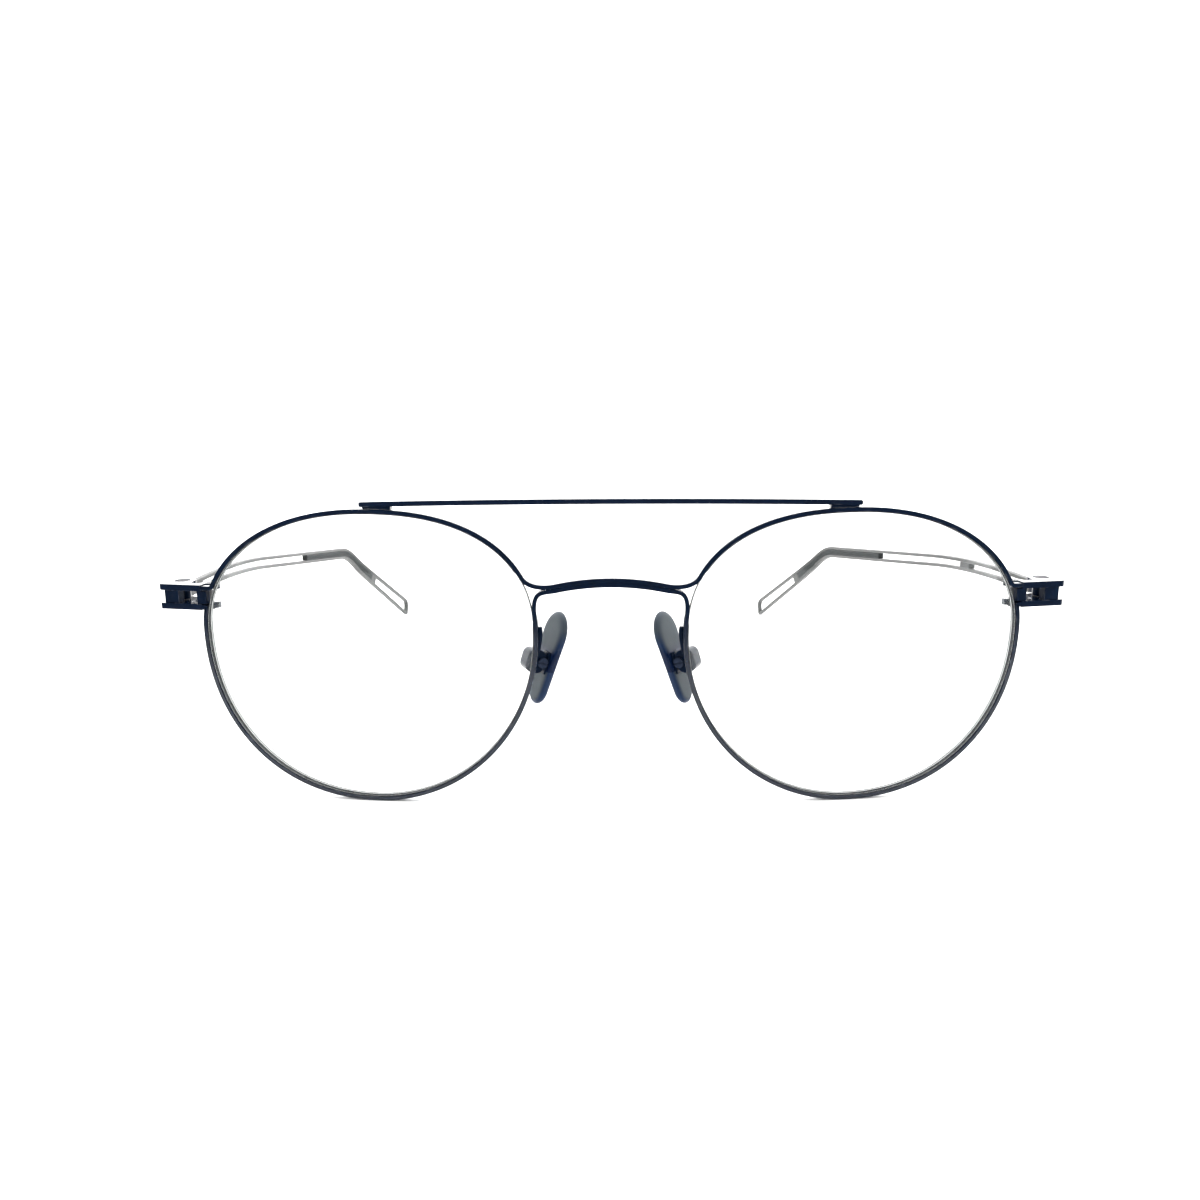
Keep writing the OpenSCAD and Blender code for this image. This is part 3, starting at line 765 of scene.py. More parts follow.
@dataclass(frozen=True)
class Lines:
    """Lines of the front, in front coordinates: u across, w back and v up."""

    lens_inner: float = 24.65
    lens_outer: float = 25.4
    lens_up: float = 18.2
    lens_down: float = 25.5
    nose_gap: float = 22.6
    square_up_in: float = 2.38
    square_up_out: float = 2.1
    square_down_out: float = 2.14
    square_down_in: float = 2.0
    face_r: float = 350.0
    rim_t: float = 0.65
    rim_d: float = 1.4
    groove: float = 0.22
    groove_slope: float = 1.6
    bond: float = 0.03
    bridge_v: float = 8.9
    bridge_rise: float = 0.85
    bridge_half: float = 8.0
    brow_half: float = 36.4
    brow_t: float = 0.75
    brow_gap: float = 0.28
    brow_rise: float = 0.55
    plate_start: float = 0.25
    corner_turn: float = 1.5
    corner_leg: float = 0.5
    path_step: float = 2.5
    hinge_x: float = 4.75
    hinge_y: float = 3.0

    @property
    def rim_u(self) -> float:
        """Distance of each opening's middle from the middle of the face."""
        return self.nose_gap / 2 + self.lens_inner

    @property
    def plate_u(self) -> float:
        """Where the endpieces start."""
        return self.rim_u + self.lens_outer + self.rim_t / 2 + self.plate_start

    def beside(self, x: float, y: float, v: float) -> Vector:
        """Point of the left endpiece, x out and y back from the start of its plates, at the height v."""
        s, c, r = math.sin(self.plate_u / self.face_r), math.cos(self.plate_u / self.face_r), self.face_r
        return Vector((r * s + x * c - y * s, r * (1 - c) + x * s + y * c, v))

    @property
    def hinge(self) -> Vector:
        """Middle of the left hinge."""
        return self.beside(self.hinge_x, self.hinge_y, (UPPER.plate_v + LOWER.plate_v) / 2)

    def bent(self, u: float, w: float, v: float) -> Vector:
        """Point of the front, bent round the face."""
        a, r = u / self.face_r, self.face_r - w
        return Vector((r * math.sin(a), self.face_r - r * math.cos(a), v))

    def outline(self, angle: float, grow: float) -> Flat:
        """Point of the left opening's outline.

        Args:
            angle: Angle from the temple side over the top.
            grow: Distance that the outline is grown by.

        Returns:
            The point, across and up.
        """
        c, s = math.cos(math.radians(angle)), math.sin(math.radians(angle))
        wide = (self.lens_outer if c > 0 else self.lens_inner) + grow
        tall = (self.lens_up if s > 0 else self.lens_down) + grow
        upper = self.square_up_out if c > 0 else self.square_up_in
        lower = self.square_down_out if c > 0 else self.square_down_in
        square = upper if s > 0 else lower
        return self.rim_u + wide * signed_power(c, 2 / square), tall * signed_power(s, 2 / square)

    def rim(self, angle: float) -> Flat:
        """Point of the rim wire's middle line."""
        return self.outline(angle, self.rim_t / 2)

    def rim_angle(self, v: float) -> float:
        """Angle at which the rim on the temple side reaches the height v."""
        share = (v / (self.lens_up + self.rim_t / 2)) ** (self.square_up_out / 2)
        return math.degrees(math.asin(share))

    def rim_top(self, u: float) -> float:
        """Height of the rim's upper side at u.

        Args:
            u: Distance across.

        Returns:
            The height.
        """
        outer = u > self.rim_u
        x = abs(u - self.rim_u) / ((self.lens_outer if outer else self.lens_inner) + self.rim_t)
        n = self.square_up_out if outer else self.square_up_in
        return (self.lens_up + self.rim_t) * (1 - x ** n) ** (1 / n)

    def bridge_line(self, u: float) -> float:
        """Height of the upper bridge wire's middle line."""
        return self.bridge_v - self.rim_t / 2 - self.bridge_rise * (u / self.bridge_half) ** 2

    def brow_line(self, u: float) -> float:
        """Height of the brow bar's middle line."""
        base = self.lens_up + self.rim_t + self.brow_gap + self.brow_t / 2
        return base + self.brow_rise * (1 - (u / self.brow_half) ** 2)

    def half(self, route: Route) -> list[Flat]:
        """Left half of a rim wire, from its plate round the lens to the middle of the bridge.

        Args:
            route: The wire's way.

        Returns:
            Points of its middle line.
        """
        way, start = route.way, self.rim_angle(route.plate_v)
        turned = start + way * self.corner_turn
        k = self.rim(start)
        corner = [curve([moved(k, (1, 0), self.corner_leg), k, self.rim(turned)], t) for t in shares(6)]
        leaves = route.leaves if way > 0 else route.leaves - 360
        first, last = math.ceil((turned + way) / self.path_step), int((leaves - way) / self.path_step)
        round_lens = [self.rim(b * self.path_step) for b in range(first, last + way, way)]
        drop = 0.0 if way > 0 else self.rim_t + self.bond
        bridge = [(u, self.bridge_line(u) - drop) for u in (self.bridge_half * i / 10 for i in range(10, -1, -1))]
        p, slope = self.rim(route.leaves), direction((0, 0), (1, -2 * self.bridge_rise / self.bridge_half))
        control = [p, moved(p, direction(p, self.rim(route.leaves + way)), route.ease),
                   moved(bridge[0], slope, route.bridge_ease), bridge[0]]
        sweep = [curve(control, t) for t in shares(18)]
        return [(self.plate_u, route.plate_v)] + corner + round_lens + sweep + bridge[1:]


@dataclass(frozen=True)
class TempleLine:
    """Middle line of a temple from its hinge, and the way from temple coordinates to the front."""

    hinge: Vector
    to_bend: float = 103.0
    tail: float = 40.0
    pantoscopic: float = 8.7
    pantoscopic_run: float = 36.0
    ear_drop: float = 24.7
    ear_run: float = 10.0
    close: float = 3.0
    sway: float = 3.3
    tail_turn: float = 16.5
    tail_turn_run: float = 20.0
    straight_run: float = 3.0
    path_step: float = 1.5
    wire_t: float = 0.62
    wire_w: float = 1.1
    pitch_hinge: float = 1.4
    pitch_ear: float = 2.0
    pitch_tip: float = 3.2
    run_start: float = 2.3
    run_step: float = 1.6
    tip_slant: float = 1.3
    tip_round: float = 1.6
    tip_point: float = 0.5

    @property
    def tip(self) -> float:
        """Distance of the tip along the temple."""
        return self.to_bend + self.tail

    @property
    def bend_start(self) -> float:
        """Distance of the start of the bend at the ear."""
        return self.to_bend - self.ear_run / 2

    def drop_at(self, s: float) -> float:
        """Drop of the line at s, in radians."""
        return math.radians(self.pantoscopic * ramp(s, self.straight_run, self.straight_run + self.pantoscopic_run)
                            + self.ear_drop * ramp(s, self.bend_start, self.bend_start + self.ear_run))

    def turn_at(self, s: float) -> float:
        """Inward turn of the line at s, in radians."""
        return math.radians(self.tail_turn * ramp(s, self.bend_start, self.bend_start + self.tail_turn_run))

    def centre(self, s: float) -> Vector:
        """Point of the middle line, from the hinge.

        Args:
            s: Distance along the temple.

        Returns:
            The point.
        """
        point, along = Vector((0, 0, 0)), 0.0
        while along < s:
            length = min(self.path_step, s - along)
            t, d = self.turn_at(along + self.path_step / 2), self.drop_at(along + self.path_step / 2)
            point += length * Vector((-math.sin(t) * math.cos(d), math.cos(t) * math.cos(d), -math.sin(d)))
            along += self.path_step
        return point

    def point(self, s: float, across: float, up: float, hand: Hand) -> Vector:
        """Point of a temple in the front's coordinates, drawn on the left side.

        Args:
            s: Distance along the temple.
            across: Distance outwards from its middle line.
            up: Distance over its middle line.
            hand: Side whose resting angle the temple has.

        Returns:
            The point.
        """
        t, d, a = self.turn_at(s), self.drop_at(s), math.radians(self.close + hand.value * self.sway)
        over = Vector((-math.sin(t) * math.sin(d), math.cos(t) * math.sin(d), math.cos(d)))
        p = self.centre(s) + up * over + across * Vector((math.cos(t), math.sin(t), 0))
        c, e = math.cos(a), math.sin(a)
        return self.hinge + Vector((p.x * c - p.y * e, p.x * e + p.y * c, p.z))

    def half_pitch(self, s: float) -> float:
        """Half the distance between the middles of the two runs, at the distance s along the temple."""
        tail = (self.pitch_tip - self.pitch_ear) * ramp(s, self.bend_start + self.ear_run, self.tip - self.tip_round)
        return (mix(self.pitch_hinge, self.pitch_ear, ramp(s, self.straight_run, self.bend_start)) + tail) / 2

    def hairpin(self) -> list[Flat]:
        """The wire's way out along the top, round the tip and back along the bottom.

        Returns:
            Points along the temple and up.
        """
        top_end = self.tip - self.tip_slant - self.tip_round
        h = self.half_pitch(self.tip)
        top, low = (self.tip - self.tip_slant, h), (self.tip, -h)
        down = direction(top, low)
        runs = shares(math.ceil((top_end - self.run_start) / self.run_step))
        out = [(s, self.half_pitch(s)) for s in (mix(self.run_start, top_end, t) for t in runs)]
        turn = [curve([(top_end, self.half_pitch(top_end)), top, moved(top, down, self.tip_round)], t)
                for t in shares(10)[1:]]
        point = [curve([moved(low, down, -self.tip_point), low, (low[0] - self.tip_point, low[1])], t)
                 for t in shares(6)]
        end = self.tip - 2 * self.tip_point
        back = [(s, -self.half_pitch(s)) for s in (mix(end, self.run_start, t) for t in runs)]
        return out + turn + point + back


class Stance:
    """The way from the front's coordinates to the row's frame, standing on rims and tips."""

    def __init__(self, lines: Lines, temple: TempleLine) -> None:
        """Finds the lean that sets the rims and the tips on the floor.

        Args:
            lines: Lines of the front.
            temple: Line of the temples.
        """
        foot = lines.bent(lines.rim_u, 0, -lines.lens_down - lines.rim_t)
        under = -temple.half_pitch(temple.tip) - temple.wire_t / 2
        near, tip = sorted((temple.point(temple.tip, 0, under, hand) for hand in Hand), key=lambda p: p.y)
        self.lean = math.atan2(foot.z - near.z, near.y - foot.y)
        self.cos, self.sin = math.cos(self.lean), math.sin(self.lean)
        self.low = foot.z * self.cos + foot.y * self.sin
        brow_top = lines.brow_line(0) + lines.brow_t / 2
        self.mid = (tip.y * self.cos - tip.z * self.sin - brow_top * self.sin) / 2

    def place(self, p: Vector, hand: Hand) -> Vector:
        """A point of the front, in the row's frame, on one side."""
        c, s = self.cos, self.sin
        return Vector((hand.value * p.x, p.y * c - p.z * s - self.mid, p.y * s + p.z * c - self.low))


# Sub-assemblies


@dataclass
class Assembly:
    """A sub-assembly, with its bench, the lines that it follows and the side that is being built."""

    bench: Workbench
    lines: Lines
    temple: TempleLine
    stance: Stance
    hand: Hand = Hand.LEFT

    def placed(self, p: Vector) -> Vector:
        """A point of the front in the row's frame, on the side that is being built."""
        return self.stance.place(p, self.hand)

    def front(self, u: float, w: float, v: float) -> Vector:
        """A point of the front, bent round the face, in the row's frame."""
        return self.placed(self.lines.bent(u, w, v))

    def metres(self, p: Vector) -> Spot:
        """A point of the front, in the row's frame and in metres."""
        return tuple(MM * x for x in self.placed(p))

    def named(self, rest: str) -> str:
        """Name of a piece or a node of the side that is being built."""
        return f"{self.hand.word}_{rest}"

    def dress(self, bm: Mesh, name: str, node: str, finish: Finish, body: Body = Body.FRONT,
              sharp: float = 40.0) -> None:
        """Dresses a piece of the side that is being built, which replaces a node of that side."""
        self.bench.dress(bm, self.named(name), finish, body.of(self.hand), self.named(node), sharp=sharp)

    def refine(self, node: str, rounding: float, name: str, finish: Finish, body: Body) -> None:
        """Dresses a node's own shape, with its edges rounded."""
        self.dress(self.bench.refined(self.named(node), rounding), name, node, finish, body)

    def side(self) -> None:
        """Builds what one side has."""

    def build(self) -> None:
        """Builds both sides."""
        for self.hand in Hand:
            self.side()


@dataclass
class RimWires(Assembly):
    """The two flat wires that make the rims and the bridge, each with its lens groove."""

    rounding: float = 0.12
    shielded: float = 0.4
    shield_past: float = 2.0
    seam_inset: float = 0.03
    seam_rounding: float = 0.01
    seam_short: float = 1.0

    def _section(self, way: int) -> Section:
        """Section of a wire with its groove towards the lens.

        Args:
            way: 1 for the wire over the lens and -1 for the one under it.

        Returns:
            The section.
        """
        t, d, g = self.lines.rim_t / 2, self.lines.rim_d, self.lines.groove
        reach = self.lines.groove_slope * g
        corners = [(-t, 0), (t, 0), (t, d / 2 - reach), (t - g, d / 2), (t, d / 2 + reach), (t, d), (-t, d)]
        if way < 0:
            corners = [(-x, y) for x, y in reversed(corners)]
        return Section(corners, self.rounding, [i for i, (_, y) in enumerate(corners) if y in (0, d)])

    def _wire(self, route: Route) -> None:
        """Builds one wire, less worn at the bridge.

        Args:
            route: The wire's way.
        """
        half = self.lines.half(route)
        path = half + [(-u, v) for u, v in reversed(half[:-1])]
        section = self._section(route.way)
        wear = [self.shielded if abs(u) < self.lines.bridge_half + self.shield_past else 1.0 for u, _ in path]
        bm = shell(carried(path, section, self.front), "wear", lambda row, i: section.marks[i] * wear[row])
        self.bench.dress(bm, f"{route.word}_wire", Lacquer(), Body.FRONT.value, f"{route.word}_rim_wire")

    def _seam(self) -> None:
        """Builds the thin line of braze that fills the gap between the wires of the bridge."""
        low, high, inset = -self.lines.rim_t / 2 - self.lines.bond, -self.lines.rim_t / 2, self.seam_inset
        corners = box(low - inset, high + inset, inset, self.lines.rim_d - inset)
        section = Section(corners, self.seam_rounding, segments=1)
        half = self.lines.bridge_half - self.seam_short
        path = [(u, self.lines.bridge_line(u)) for u in (mix(half, -half, t) for t in shares(40))]
        rings = [[self.front(u, w, v + q) for q, w in section.points] for u, v in path]
        self.bench.dress(shell(rings, "wear", lambda row, i: 0.0), "bridge_seam", Lacquer(), Body.FRONT.value)

    def build(self) -> None:
        """Builds both wires and their seam."""
        self._wire(UPPER)
        self._wire(LOWER)
        self._seam()


@dataclass
class BrowBar(Assembly):
    """The straight bar over the rims, with the spacers that carry it."""

    rounding: float = 0.12
    cap: float = 0.35
    cap_height: float = 0.35
    cap_depth: float = 0.7
    spacer_l: float = 4.2
    spacer_in: float = 0.5
    spacer_inset: float = 0.2
    spacer_rounding: float = 0.07
    spacer_most: float = 0.3
    spacer_wear: float = 0.3

    def _bar(self) -> None:
        """Builds the bar, narrowed to rounded ends."""
        t, d = self.lines.brow_t / 2, self.lines.rim_d
        section = Section(box(-t, t, 0, d), self.rounding)
        half, inner = self.lines.brow_half, self.lines.brow_half - self.cap
        end = [(half - self.cap * (1 - math.cos(a)), math.sin(a)) for a in (math.pi * k / 12 for k in range(1, 7))]
        middle = [(mix(inner, -inner, k), 1.0) for k in shares(60)[1:-1]]
        rings = []
        for u, full in end + middle + [(-u, full) for u, full in reversed(end)]:
            v, tall, deep = self.lines.brow_line(u), mix(self.cap_height, 1.0, full), mix(self.cap_depth, 1.0, full)
            rings.append([self.front(u, mix(d / 2, w, deep), v - q * tall) for q, w in section.points])
        bm = shell(rings, "wear", lambda row, i: section.marks[i])
        self.bench.dress(bm, "brow_wire", Lacquer(), Body.FRONT.value, "brow_bar")

    def side(self) -> None:
        """Builds the fillet between the bar and one rim."""
        lines, inset = self.lines, self.spacer_inset
        start, rings = lines.brow_half - self.spacer_in, []
        for k in shares(12):
            u = mix(start, start - self.spacer_l, k)
            low, high = lines.rim_top(u) + lines.bond, lines.brow_line(u) - lines.brow_t / 2 - lines.bond
            rounding = min(self.spacer_rounding, self.spacer_most * (high - low))
            section = Section(box(low, high, inset, lines.rim_d - inset), rounding, segments=2)
            rings.append([self.front(u, w, v) for v, w in section.points])
        fewest = min(len(r) for r in rings)
        bm = shell([r for r in rings if len(r) == fewest], "wear", lambda row, i: self.spacer_wear)
        self.dress(bm, "brow_fillet", "brow_spacer", Lacquer())

    def build(self) -> None:
        """Builds the bar and its spacers."""
        self._bar()
        super().build()


@dataclass
class Lenses(Assembly):
    """The two domed lenses, with the bevel that sits in the grooves and the marks that carry painted shade and painted
    light on their edge.
    """

    thick: float = 1.1
    crown: float = 2.0
    play: float = 0.05
    count: int = 144
    spread: tuple[float, ...] = (0.02, 0.15, 0.3, 0.45, 0.6, 0.72, 0.83, 0.92, 0.97, 0.992, 1.0)
    # Edge marks: painted shade lines round the rims of both faces, painted shade on the front land and in the groove,
    # and painted light on the rear land.
    front_line: float = 0.3
    front_land: float = 0.35
    groove_mark: float = 0.6
    rear_land: float = 1.0
    rear_line: float = 0.35
    rear_slope: float = 0.98
    rear_edge: float = 0.03
    # bare makes the painted edge shade fainter over one arc of each opening.
    bare: float = 0.42
    bare_from: int = 187
    bare_to: int = 211

    def side(self) -> None:
        """Builds the lens of one side."""
        lines, tight = self.lines, -self.play
        middle, bevel, half = lines.rim_d / 2, lines.groove_slope * lines.groove, self.thick / 2
        front = [(r, tight, middle - half, self.front_line if r == 1.0 else 0.0) for r in self.spread]
        back = [(r, tight, middle + half, self.rear_line if r == 1.0 else 0.0) for r in reversed(self.spread)]
        edge = [(1, tight, middle - bevel, self.front_land), (1, lines.groove - self.play, middle, self.groove_mark),
                (1, tight, middle + bevel * self.rear_slope, self.groove_mark),
                (1, tight, middle + bevel, self.rear_land), (1, tight, middle + half - self.rear_edge, self.rear_land)]
        rows, rings = front + edge + back, []
        for r, grow, depth, _ in rows:
            ring = [lines.outline(-360 * i / self.count, grow) for i in range(self.count)]
            rings.append([self.front(mix(lines.rim_u, u, r), depth - self.crown * (1 - r * r), v * r)
                          for u, v in ring])
        bare = range(self.count * self.bare_from // 360, self.count * self.bare_to // 360)
        bm = shell(rings, "edge", lambda row, i: rows[row][3] * (self.bare if i in bare else 1.0))
        self.dress(bm, "glazing", "lens", ClearLens(), sharp=30)


@dataclass
class Endpieces(Assembly):
    """Plates, blocks, screws and washers beside the lenses, and the hinge barrels."""

    plate_rounding: float = 0.09
    block_rounding: float = 0.05
    screw_rounding: float = 0.04
    closing_at: Flat = (-0.15, 2.35)

    def _steel(self, name: str, at: Flat) -> TurnedSteel:
        """Steel of an upright screw, at a place out and back from the start of the plates."""
        middle = self.metres(self.lines.beside(*at, UPPER.plate_v))
        return TurnedSteel(self.named(f"{name}_steel"), middle=middle, turn=(-self.stance.lean, 0.0, 0.0))

    def side(self) -> None:
        """Builds the endpiece of one side."""
        hinge = self._steel("hinge", (self.lines.hinge_x, self.lines.hinge_y))
        closing = self._steel("closing", self.closing_at)
        for part, rounding, finish, body in (
            ("upper_plate", self.plate_rounding, Lacquer(), Body.FRONT),
            ("lower_plate", self.plate_rounding, Lacquer(), Body.FRONT),
            ("closing_block", self.block_rounding, Lacquer(), Body.FRONT),
            ("hinge_post", self.block_rounding, Lacquer(), Body.FRONT),
            ("hinge_screw", self.screw_rounding, hinge, Body.FRONT),
            ("hinge_washers", self.screw_rounding, hinge, Body.FRONT),
            ("closing_screw", self.screw_rounding, closing, Body.FRONT),
            ("hinge_knuckle", self.screw_rounding, Lacquer(), Body.TEMPLE),
        ):
            self.refine(part, rounding, f"{part}_finished", finish, body)


@dataclass
class Temples(Assembly):
    """The two temples: a hairpin of wire, the ear insert, the tail block and the spacer."""

    rounding: float = 0.13
    filler_step: float = 1.6
    insert_at: float = 66.0
    insert_l: float = 53.0
    insert_rounding: float = 0.12
    block_l: float = 2.4
    block_inset: float = 0.2
    block_rounding: float = 0.08
    spacer_at: float = 23.0
    spacer_l: float = 3.5

    def _own(self, s: float, across: float, up: float) -> Vector:
        """A point of the temple in the row's frame."""
        return self.placed(self.temple.point(s, across, up, self.hand))

    def _wire(self) -> None:
        """Builds the hairpin of one temple."""
        t, w = self.temple.wire_t / 2, self.temple.wire_w / 2
        section = Section(box(-t, t, -w, w), self.rounding)
        bm = shell(carried(self.temple.hairpin(), section, self._own), "wear", lambda row, i: section.marks[i])
        self.dress(bm, "temple_hairpin", "temple_wire", SatinLacquer(), Body.TEMPLE)

    def _between(self, start: float, length: float, inset: float, rounding: float, finish: Finish, name: str,
                 node: str) -> None:
        """Builds a filler between the two runs of the wire.

        Args:
            start: Distance along the temple where it starts.
            length: Its length.
            inset: How much narrower it is than the wire.
            rounding: Radius along its edges.
            finish: Its finish.
            name: Name of the piece, after its side.
            node: Node that it replaces, after its side.
        """
        half = (self.temple.wire_w - inset) / 2
        section = Section(box(-half, half, -1, 1), rounding)
        rings = []
        for k in shares(max(2, math.ceil(length / self.filler_step))):
            s = mix(start, start + length, k)
            h = self.temple.half_pitch(s) - self.temple.wire_t / 2 - self.lines.bond
            high = [y * h if abs(y) <= 0.5 else math.copysign(h - (1 - abs(y)), y) for _, y in section.points]
            rings.append([self._own(s, x, up) for (x, _), up in zip(section.points, high)])
        bm = shell(rings, "wear", lambda row, i: section.marks[i])
        self.dress(bm, name, node, finish, Body.TEMPLE)

    def side(self) -> None:
        """Builds the temple of one side, with the spacer that only the left one has."""
        end, block = self.insert_at + self.insert_l + self.lines.bond, self.block_rounding
        self._wire()
        self._between(self.insert_at, self.insert_l, 0, self.insert_rounding, SoftSleeve(), "ear_sleeve", "ear_insert")
        self._between(end, self.block_l, self.block_inset, block, SatinLacquer(), "tail_stop", "tail_block")
        if self.hand is Hand.LEFT:
            self._between(self.spacer_at, self.spacer_l, 0, block, DULL, "temple_bridge", "temple_spacer")


@dataclass
class NosePads(Assembly):
    """The pads, with their lugs, forks, screws and arms."""

    at: Spot = (10.8, 5.2, -4.9)
    splay: float = 25.0
    tilt: float = 18.5
    length: float = 14.8
    wide: float = 7.6
    narrow: float = 5.2
    thick: float = 1.4
    face: float = -1.0
    shift: Flat = (1.1, 0.6)
    # The third number of each row is its share of the pad's rim colour, which is partly painted reflection.
    half_rows: tuple[Spot, ...] = ((1.0, 0.03, 0.0), (1.0, 0.35, 0.0), (1.0, 0.60, 0.0), (0.97, 0.72, 0.05),
                                   (0.86, 0.82, 0.5), (0.62, 0.91, 1.0), (0.30, 0.97, 1.0))
    longest_edge: float = 1.5
    arm_d: float = 0.9
    arm_on_rim_v: float = 1.3
    arm_off_rim: float = 0.9
    arm_inset: float = 0.5
    arm_drop: float = 2.6
    arm_on_holder: Spot = (1.9, -1.2, 0.6)
    arm_stub: float = 0.4
    arm_sides: int = 16
    arm_start: Flat = (0.7, 0.9)
    arm_wear: float = 0.25
    fork_rounding: float = 0.12
    tongue_rounding: float = 0.06
    pin_rounding: float = 0.05
    pin_tone: Colour = (0.022, 0.031, 0.055)
    pin_dark: Colour = (0.005, 0.009, 0.020)

    def _own(self, x: float, y: float, z: float) -> Vector:
        """A point of the left pad's own frame, in the front's coordinates.

        Args:
            x: Distance outwards from the pad.
            y: Distance back.
            z: Height along the pad.

        Returns:
            The point.
        """
        tilt, splay = math.radians(self.tilt), math.radians(self.splay)
        a, up = x * math.cos(tilt) - z * math.sin(tilt), x * math.sin(tilt) + z * math.cos(tilt)
        return Vector(self.at) + Vector((a * math.cos(splay) + y * math.sin(splay),
                                         -a * math.sin(splay) + y * math.cos(splay), up))

    def _outline(self, shrink: float) -> list[Flat]:
        """Outline of the pad round its wide and its narrow end.

        Args:
            shrink: Share of both ends' radii.

        Returns:
            Points across and up, in order.
        """
        wide, narrow = self.wide / 2, self.narrow / 2
        top, low = self.length / 2 - wide, narrow - self.length / 2
        tilt = math.asin((wide - narrow) / (top - low))
        points = []
        for radius, middle, first, turn, count in ((wide, top, -tilt, math.pi + 2 * tilt, 20),
                                                   (narrow, low, math.pi + tilt, math.pi - 2 * tilt, 16)):
            for a in (first + k * turn for k in shares(count)):
                points.append((shrink * radius * math.cos(a), middle + shrink * radius * math.sin(a)))
        full = []
        for p, q in zip(points, points[1:] + points[:1]):
            far = math.hypot(q[0] - p[0], q[1] - p[1]) > self.longest_edge
            full += [(mix(p[0], q[0], t), mix(p[1], q[1], t)) for t in (shares(6)[:-1] if far else [0.0])]
        return full

    def _pad(self) -> None:
        """Builds the pad of one side, from rows of depth, size and mark."""
        half, (back, up) = self.thick / 2, self.shift
        rows = [(-x, *rest) for x, *rest in self.half_rows] + [(0.0, 0.985, 1.0)] + list(reversed(self.half_rows))
        rings = [[self.placed(self._own(self.face - half + x * half, y + back, z + up))
                  for y, z in self._outline(shrink)] for x, shrink, _ in rows]
        bm = shell(rings, "band", lambda row, i: rows[row][2])
        self.dress(bm, "pad", "nose_pad", PadRubber(), Body.PAD, sharp=60)

    def _arm(self) -> None:
        """Builds the wire arm of one side."""
        lines, r, count = self.lines, self.arm_d / 2, self.arm_sides
        u = lines.rim(180 - lines.rim_angle(self.arm_on_rim_v))[0] - self.arm_inset
        top = lines.bent(u, lines.rim_d + self.arm_off_rim * r, self.arm_on_rim_v)
        x, y, z = self.arm_on_holder
        y -= lines.bond
        control = [tuple(top), (top.x, top.y, top.z - self.arm_drop), tuple(self._own(x, y - self.arm_stub - 1, z)),
                   tuple(self._own(x, y - self.arm_stub, z))]
        way = [Vector(curve(control, t)) for t in shares(24)] + [self._own(x, y, z)]
        angles = [2 * math.pi * j / count for j in range(count)]
        rings = []
        for i, p in enumerate(way):
            d = (way[min(i + 1, len(way) - 1)] - way[max(i - 1, 0)]).normalized()
            a = d.cross(Vector((0, 1, 0))).normalized()
            b = a.cross(d)
            q = r * (self.arm_start[i] if i < len(self.arm_start) else 1.0) * math.cos(math.pi / count)
            rings.append([self.placed(p + q * (math.cos(t) * a + math.sin(t) * b)) for t in angles])
        self.dress(shell(rings, "wear", lambda row, i: self.arm_wear), "arm_wire", "pad_arm", PLAIN, sharp=60)

    def side(self) -> None:
        """Builds the pad, the arm, the fork, the lug and the screw of one side."""
        self._pad()
        self._arm()
        turn = (math.radians(90), 0.0, math.radians(self.splay) * self.hand.value)
        pin = TurnedSteel(self.named("pad_steel"), middle=self.metres(self._own(0, 0, 0)), turn=turn,
                          tone=self.pin_tone, dark=self.pin_dark)
        self.refine("pad_holder", self.fork_rounding, "pad_fork", PLAIN, Body.FRONT)
        self.refine("pad_lug", self.tongue_rounding, "pad_tongue", PLAIN, Body.PAD)
        self.refine("pad_screw", self.pin_rounding, "pad_pin", pin, Body.FRONT)


# Studio


@dataclass(frozen=True)
class Viewpoint:
    """The photograph's viewpoint, in millimetres and degrees."""

    at: Spot = (-0.45, -219.508, 60.286)
    yaw: float = -0.422
    pitch: float = 10.906
    roll: float = -0.293
    focal: float = 1039.2
    width: float = 1200.0
    sensor: float = 36.0

    def build(self) -> None:
        """Places the camera and makes it the scene's own."""
        yaw, pitch, roll = (math.radians(a) for a in (self.yaw, self.pitch, self.roll))
        ahead = Vector((math.sin(yaw) * math.cos(pitch), math.cos(yaw) * math.cos(pitch), -math.sin(pitch)))
        right = Vector((math.cos(yaw), -math.sin(yaw), 0))
        up = right.cross(ahead)
        side = math.cos(roll) * right + math.sin(roll) * up
        over = -math.sin(roll) * right + math.cos(roll) * up
        data = bpy.data.cameras.new("viewpoint")
        data.sensor_width = self.sensor
        data.sensor_fit = "HORIZONTAL"
        data.lens = self.focal / self.width * self.sensor
        data.clip_start = MM
        camera = bpy.data.objects.new("viewpoint", data)
        turn = Matrix((side, over, -ahead)).transposed().to_4x4()
        camera.matrix_world = Matrix.Translation(MM * Vector(self.at)) @ turn
        bpy.context.scene.collection.objects.link(camera)
        bpy.context.scene.camera = camera


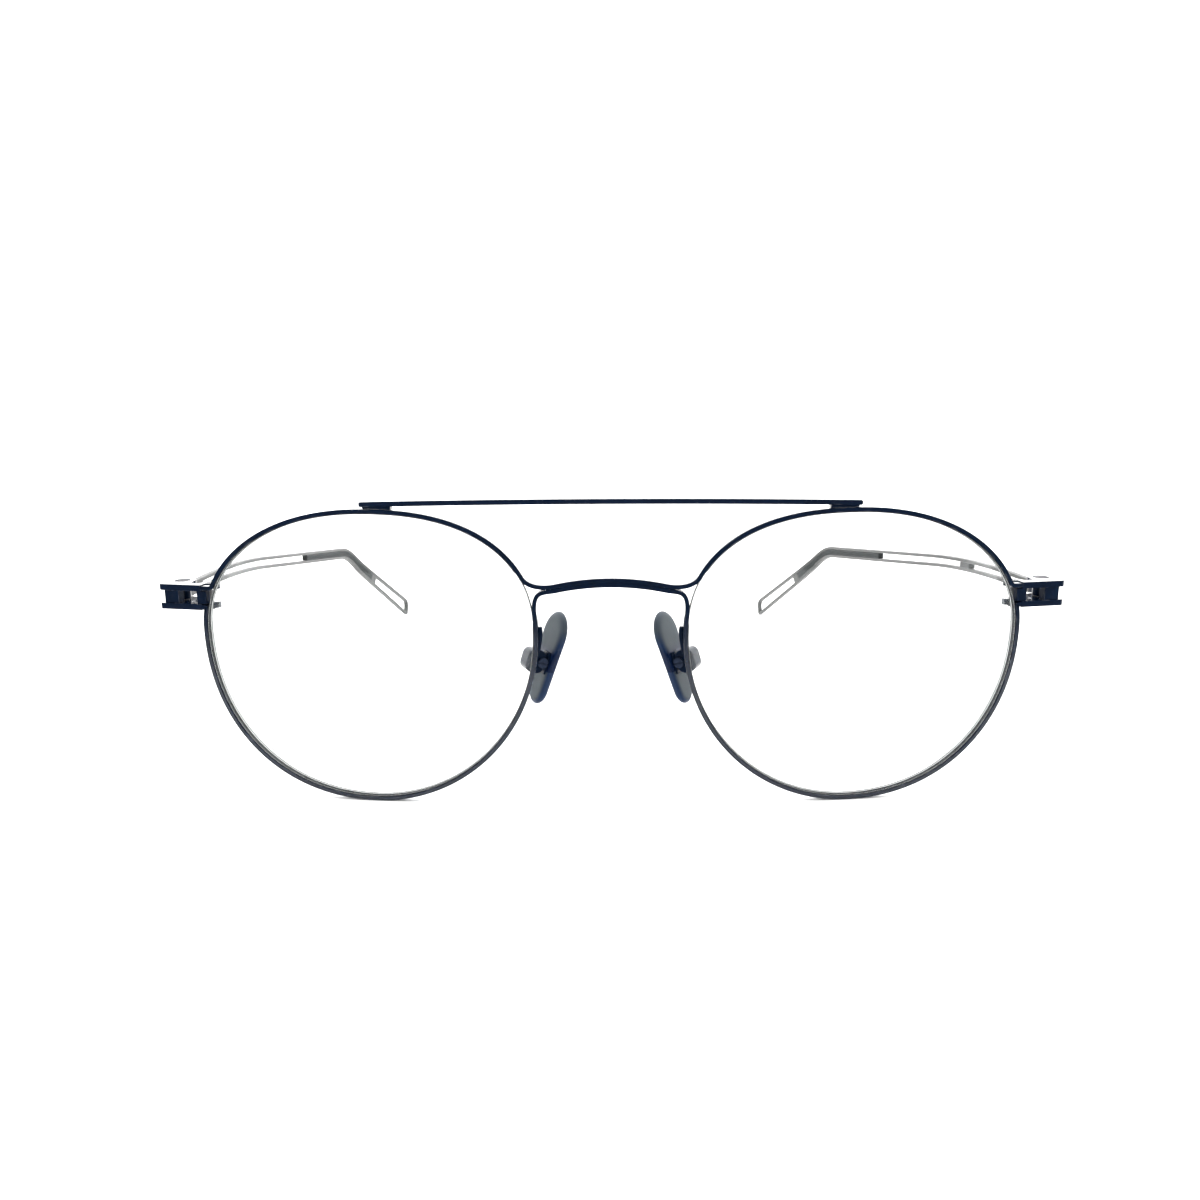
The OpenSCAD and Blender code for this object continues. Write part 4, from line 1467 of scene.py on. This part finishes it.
@dataclass(frozen=True)
class Studio:
    """Pale paper from the floor up the wall behind, under soft white light, in metres and degrees."""

    reach: float = 9.0
    wall_at: float = 1.6
    wall_radius: float = 0.7
    wall_up: float = 1.6
    screen_half: float = 6.0
    screen_before: float = 0.1
    screen_low: float = 0.02
    screen_folds: tuple[Flat, ...] = ((0.0, 0.9), (-0.25, 0.7), (-0.6, 0.5))
    sky: float = 0.55
    overhead: tuple[float, float, Spot] = (3.4, 80.0, (12.0, 8.0, 0.0))
    behind: tuple[float, float, Spot] = (0.8, 60.0, (-38.0, 0.0, 0.0))

    @staticmethod
    def _drawn(bm: Mesh, edges: Sequence[Edge], by: Spot) -> tuple[list[Vert], list[Edge]]:
        """Draws edges out into new faces.

        Args:
            bm: The mesh.
            edges: The edges.
            by: How far they are drawn.

        Returns:
            The new points and edges.
        """
        verts, fresh = split(bmesh.ops.extrude_edge_only(bm, edges=edges)["geom"])
        bmesh.ops.translate(bm, vec=by, verts=verts)
        return verts, fresh

    def _paper(self) -> None:
        """Builds the paper from one edge, drawn back, up and over."""
        bm = bmesh.new()
        edge = bm.edges.new([bm.verts.new((x, -self.reach, 0)) for x in (-self.reach, self.reach)])
        verts, edges = self._drawn(bm, [edge], (0, self.reach + self.wall_at, 0))
        rise = bmesh.ops.spin(bm, geom=edges + verts, cent=(0, self.wall_at, self.wall_radius), axis=(1, 0, 0),
                              dvec=(0, 0, 0), angle=math.radians(90), steps=16, use_merge=False)["geom_last"]
        self._drawn(bm, [g for g in rise if isinstance(g, Edge)], (0, 0, self.wall_up))
        hung(bm, "studio_paper", StudioPaper())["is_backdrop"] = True

    def _screen(self) -> None:
        """Builds the glowing screen before the wall from one edge, drawn up and leaned over."""
        bm = bmesh.new()
        ends = [(x, self.wall_at - self.screen_before, self.screen_low) for x in (-self.screen_half, self.screen_half)]
        edges = [bm.edges.new([bm.verts.new(end) for end in ends])]
        for back, up in self.screen_folds:
            _, edges = self._drawn(bm, edges, (0, back, up))
        hung(bm, "back_screen", LitCloth())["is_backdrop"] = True

    def _lights(self) -> None:
        """Adds the even white light of the room and two soft wide lights."""
        world = bpy.data.worlds.new("studio_air")
        world.use_nodes = True
        back = world.node_tree.nodes["Background"]
        back.inputs["Color"].default_value = (*WHITE, 1.0)
        back.inputs["Strength"].default_value = self.sky
        bpy.context.scene.world = world
        for name, (strength, spread, turn) in (("overhead_softbox", self.overhead), ("back_softbox", self.behind)):
            data = bpy.data.lights.new(name, "SUN")
            data.energy = strength
            data.angle = math.radians(spread)
            lamp = bpy.data.objects.new(name, data)
            lamp.rotation_euler = tuple(math.radians(a) for a in turn)
            bpy.context.scene.collection.objects.link(lamp)

    def build(self) -> None:
        """Builds the paper, the lights and the view settings."""
        self._paper()
        self._screen()
        self._lights()
        settings = bpy.context.scene.view_settings
        settings.view_transform = "Standard"
        settings.look = "None"


def main() -> Any:
    """Builds the whole scene.

    Returns:
        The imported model's box.
    """
    logging.basicConfig(level=logging.INFO, format="%(message)s")
    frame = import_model()
    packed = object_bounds()
    lines = Lines()
    temple = TempleLine(lines.hinge)
    bench, stance = Workbench(frame["nodes"]), Stance(lines, temple)
    for assembly in (RimWires, BrowBar, Lenses, Endpieces, Temples, NosePads):
        assembly(bench, lines, temple, stance).build()
    Studio().build()
    Viewpoint().build()
    return packed


if __name__ == "__main__":
    cad_box = main()
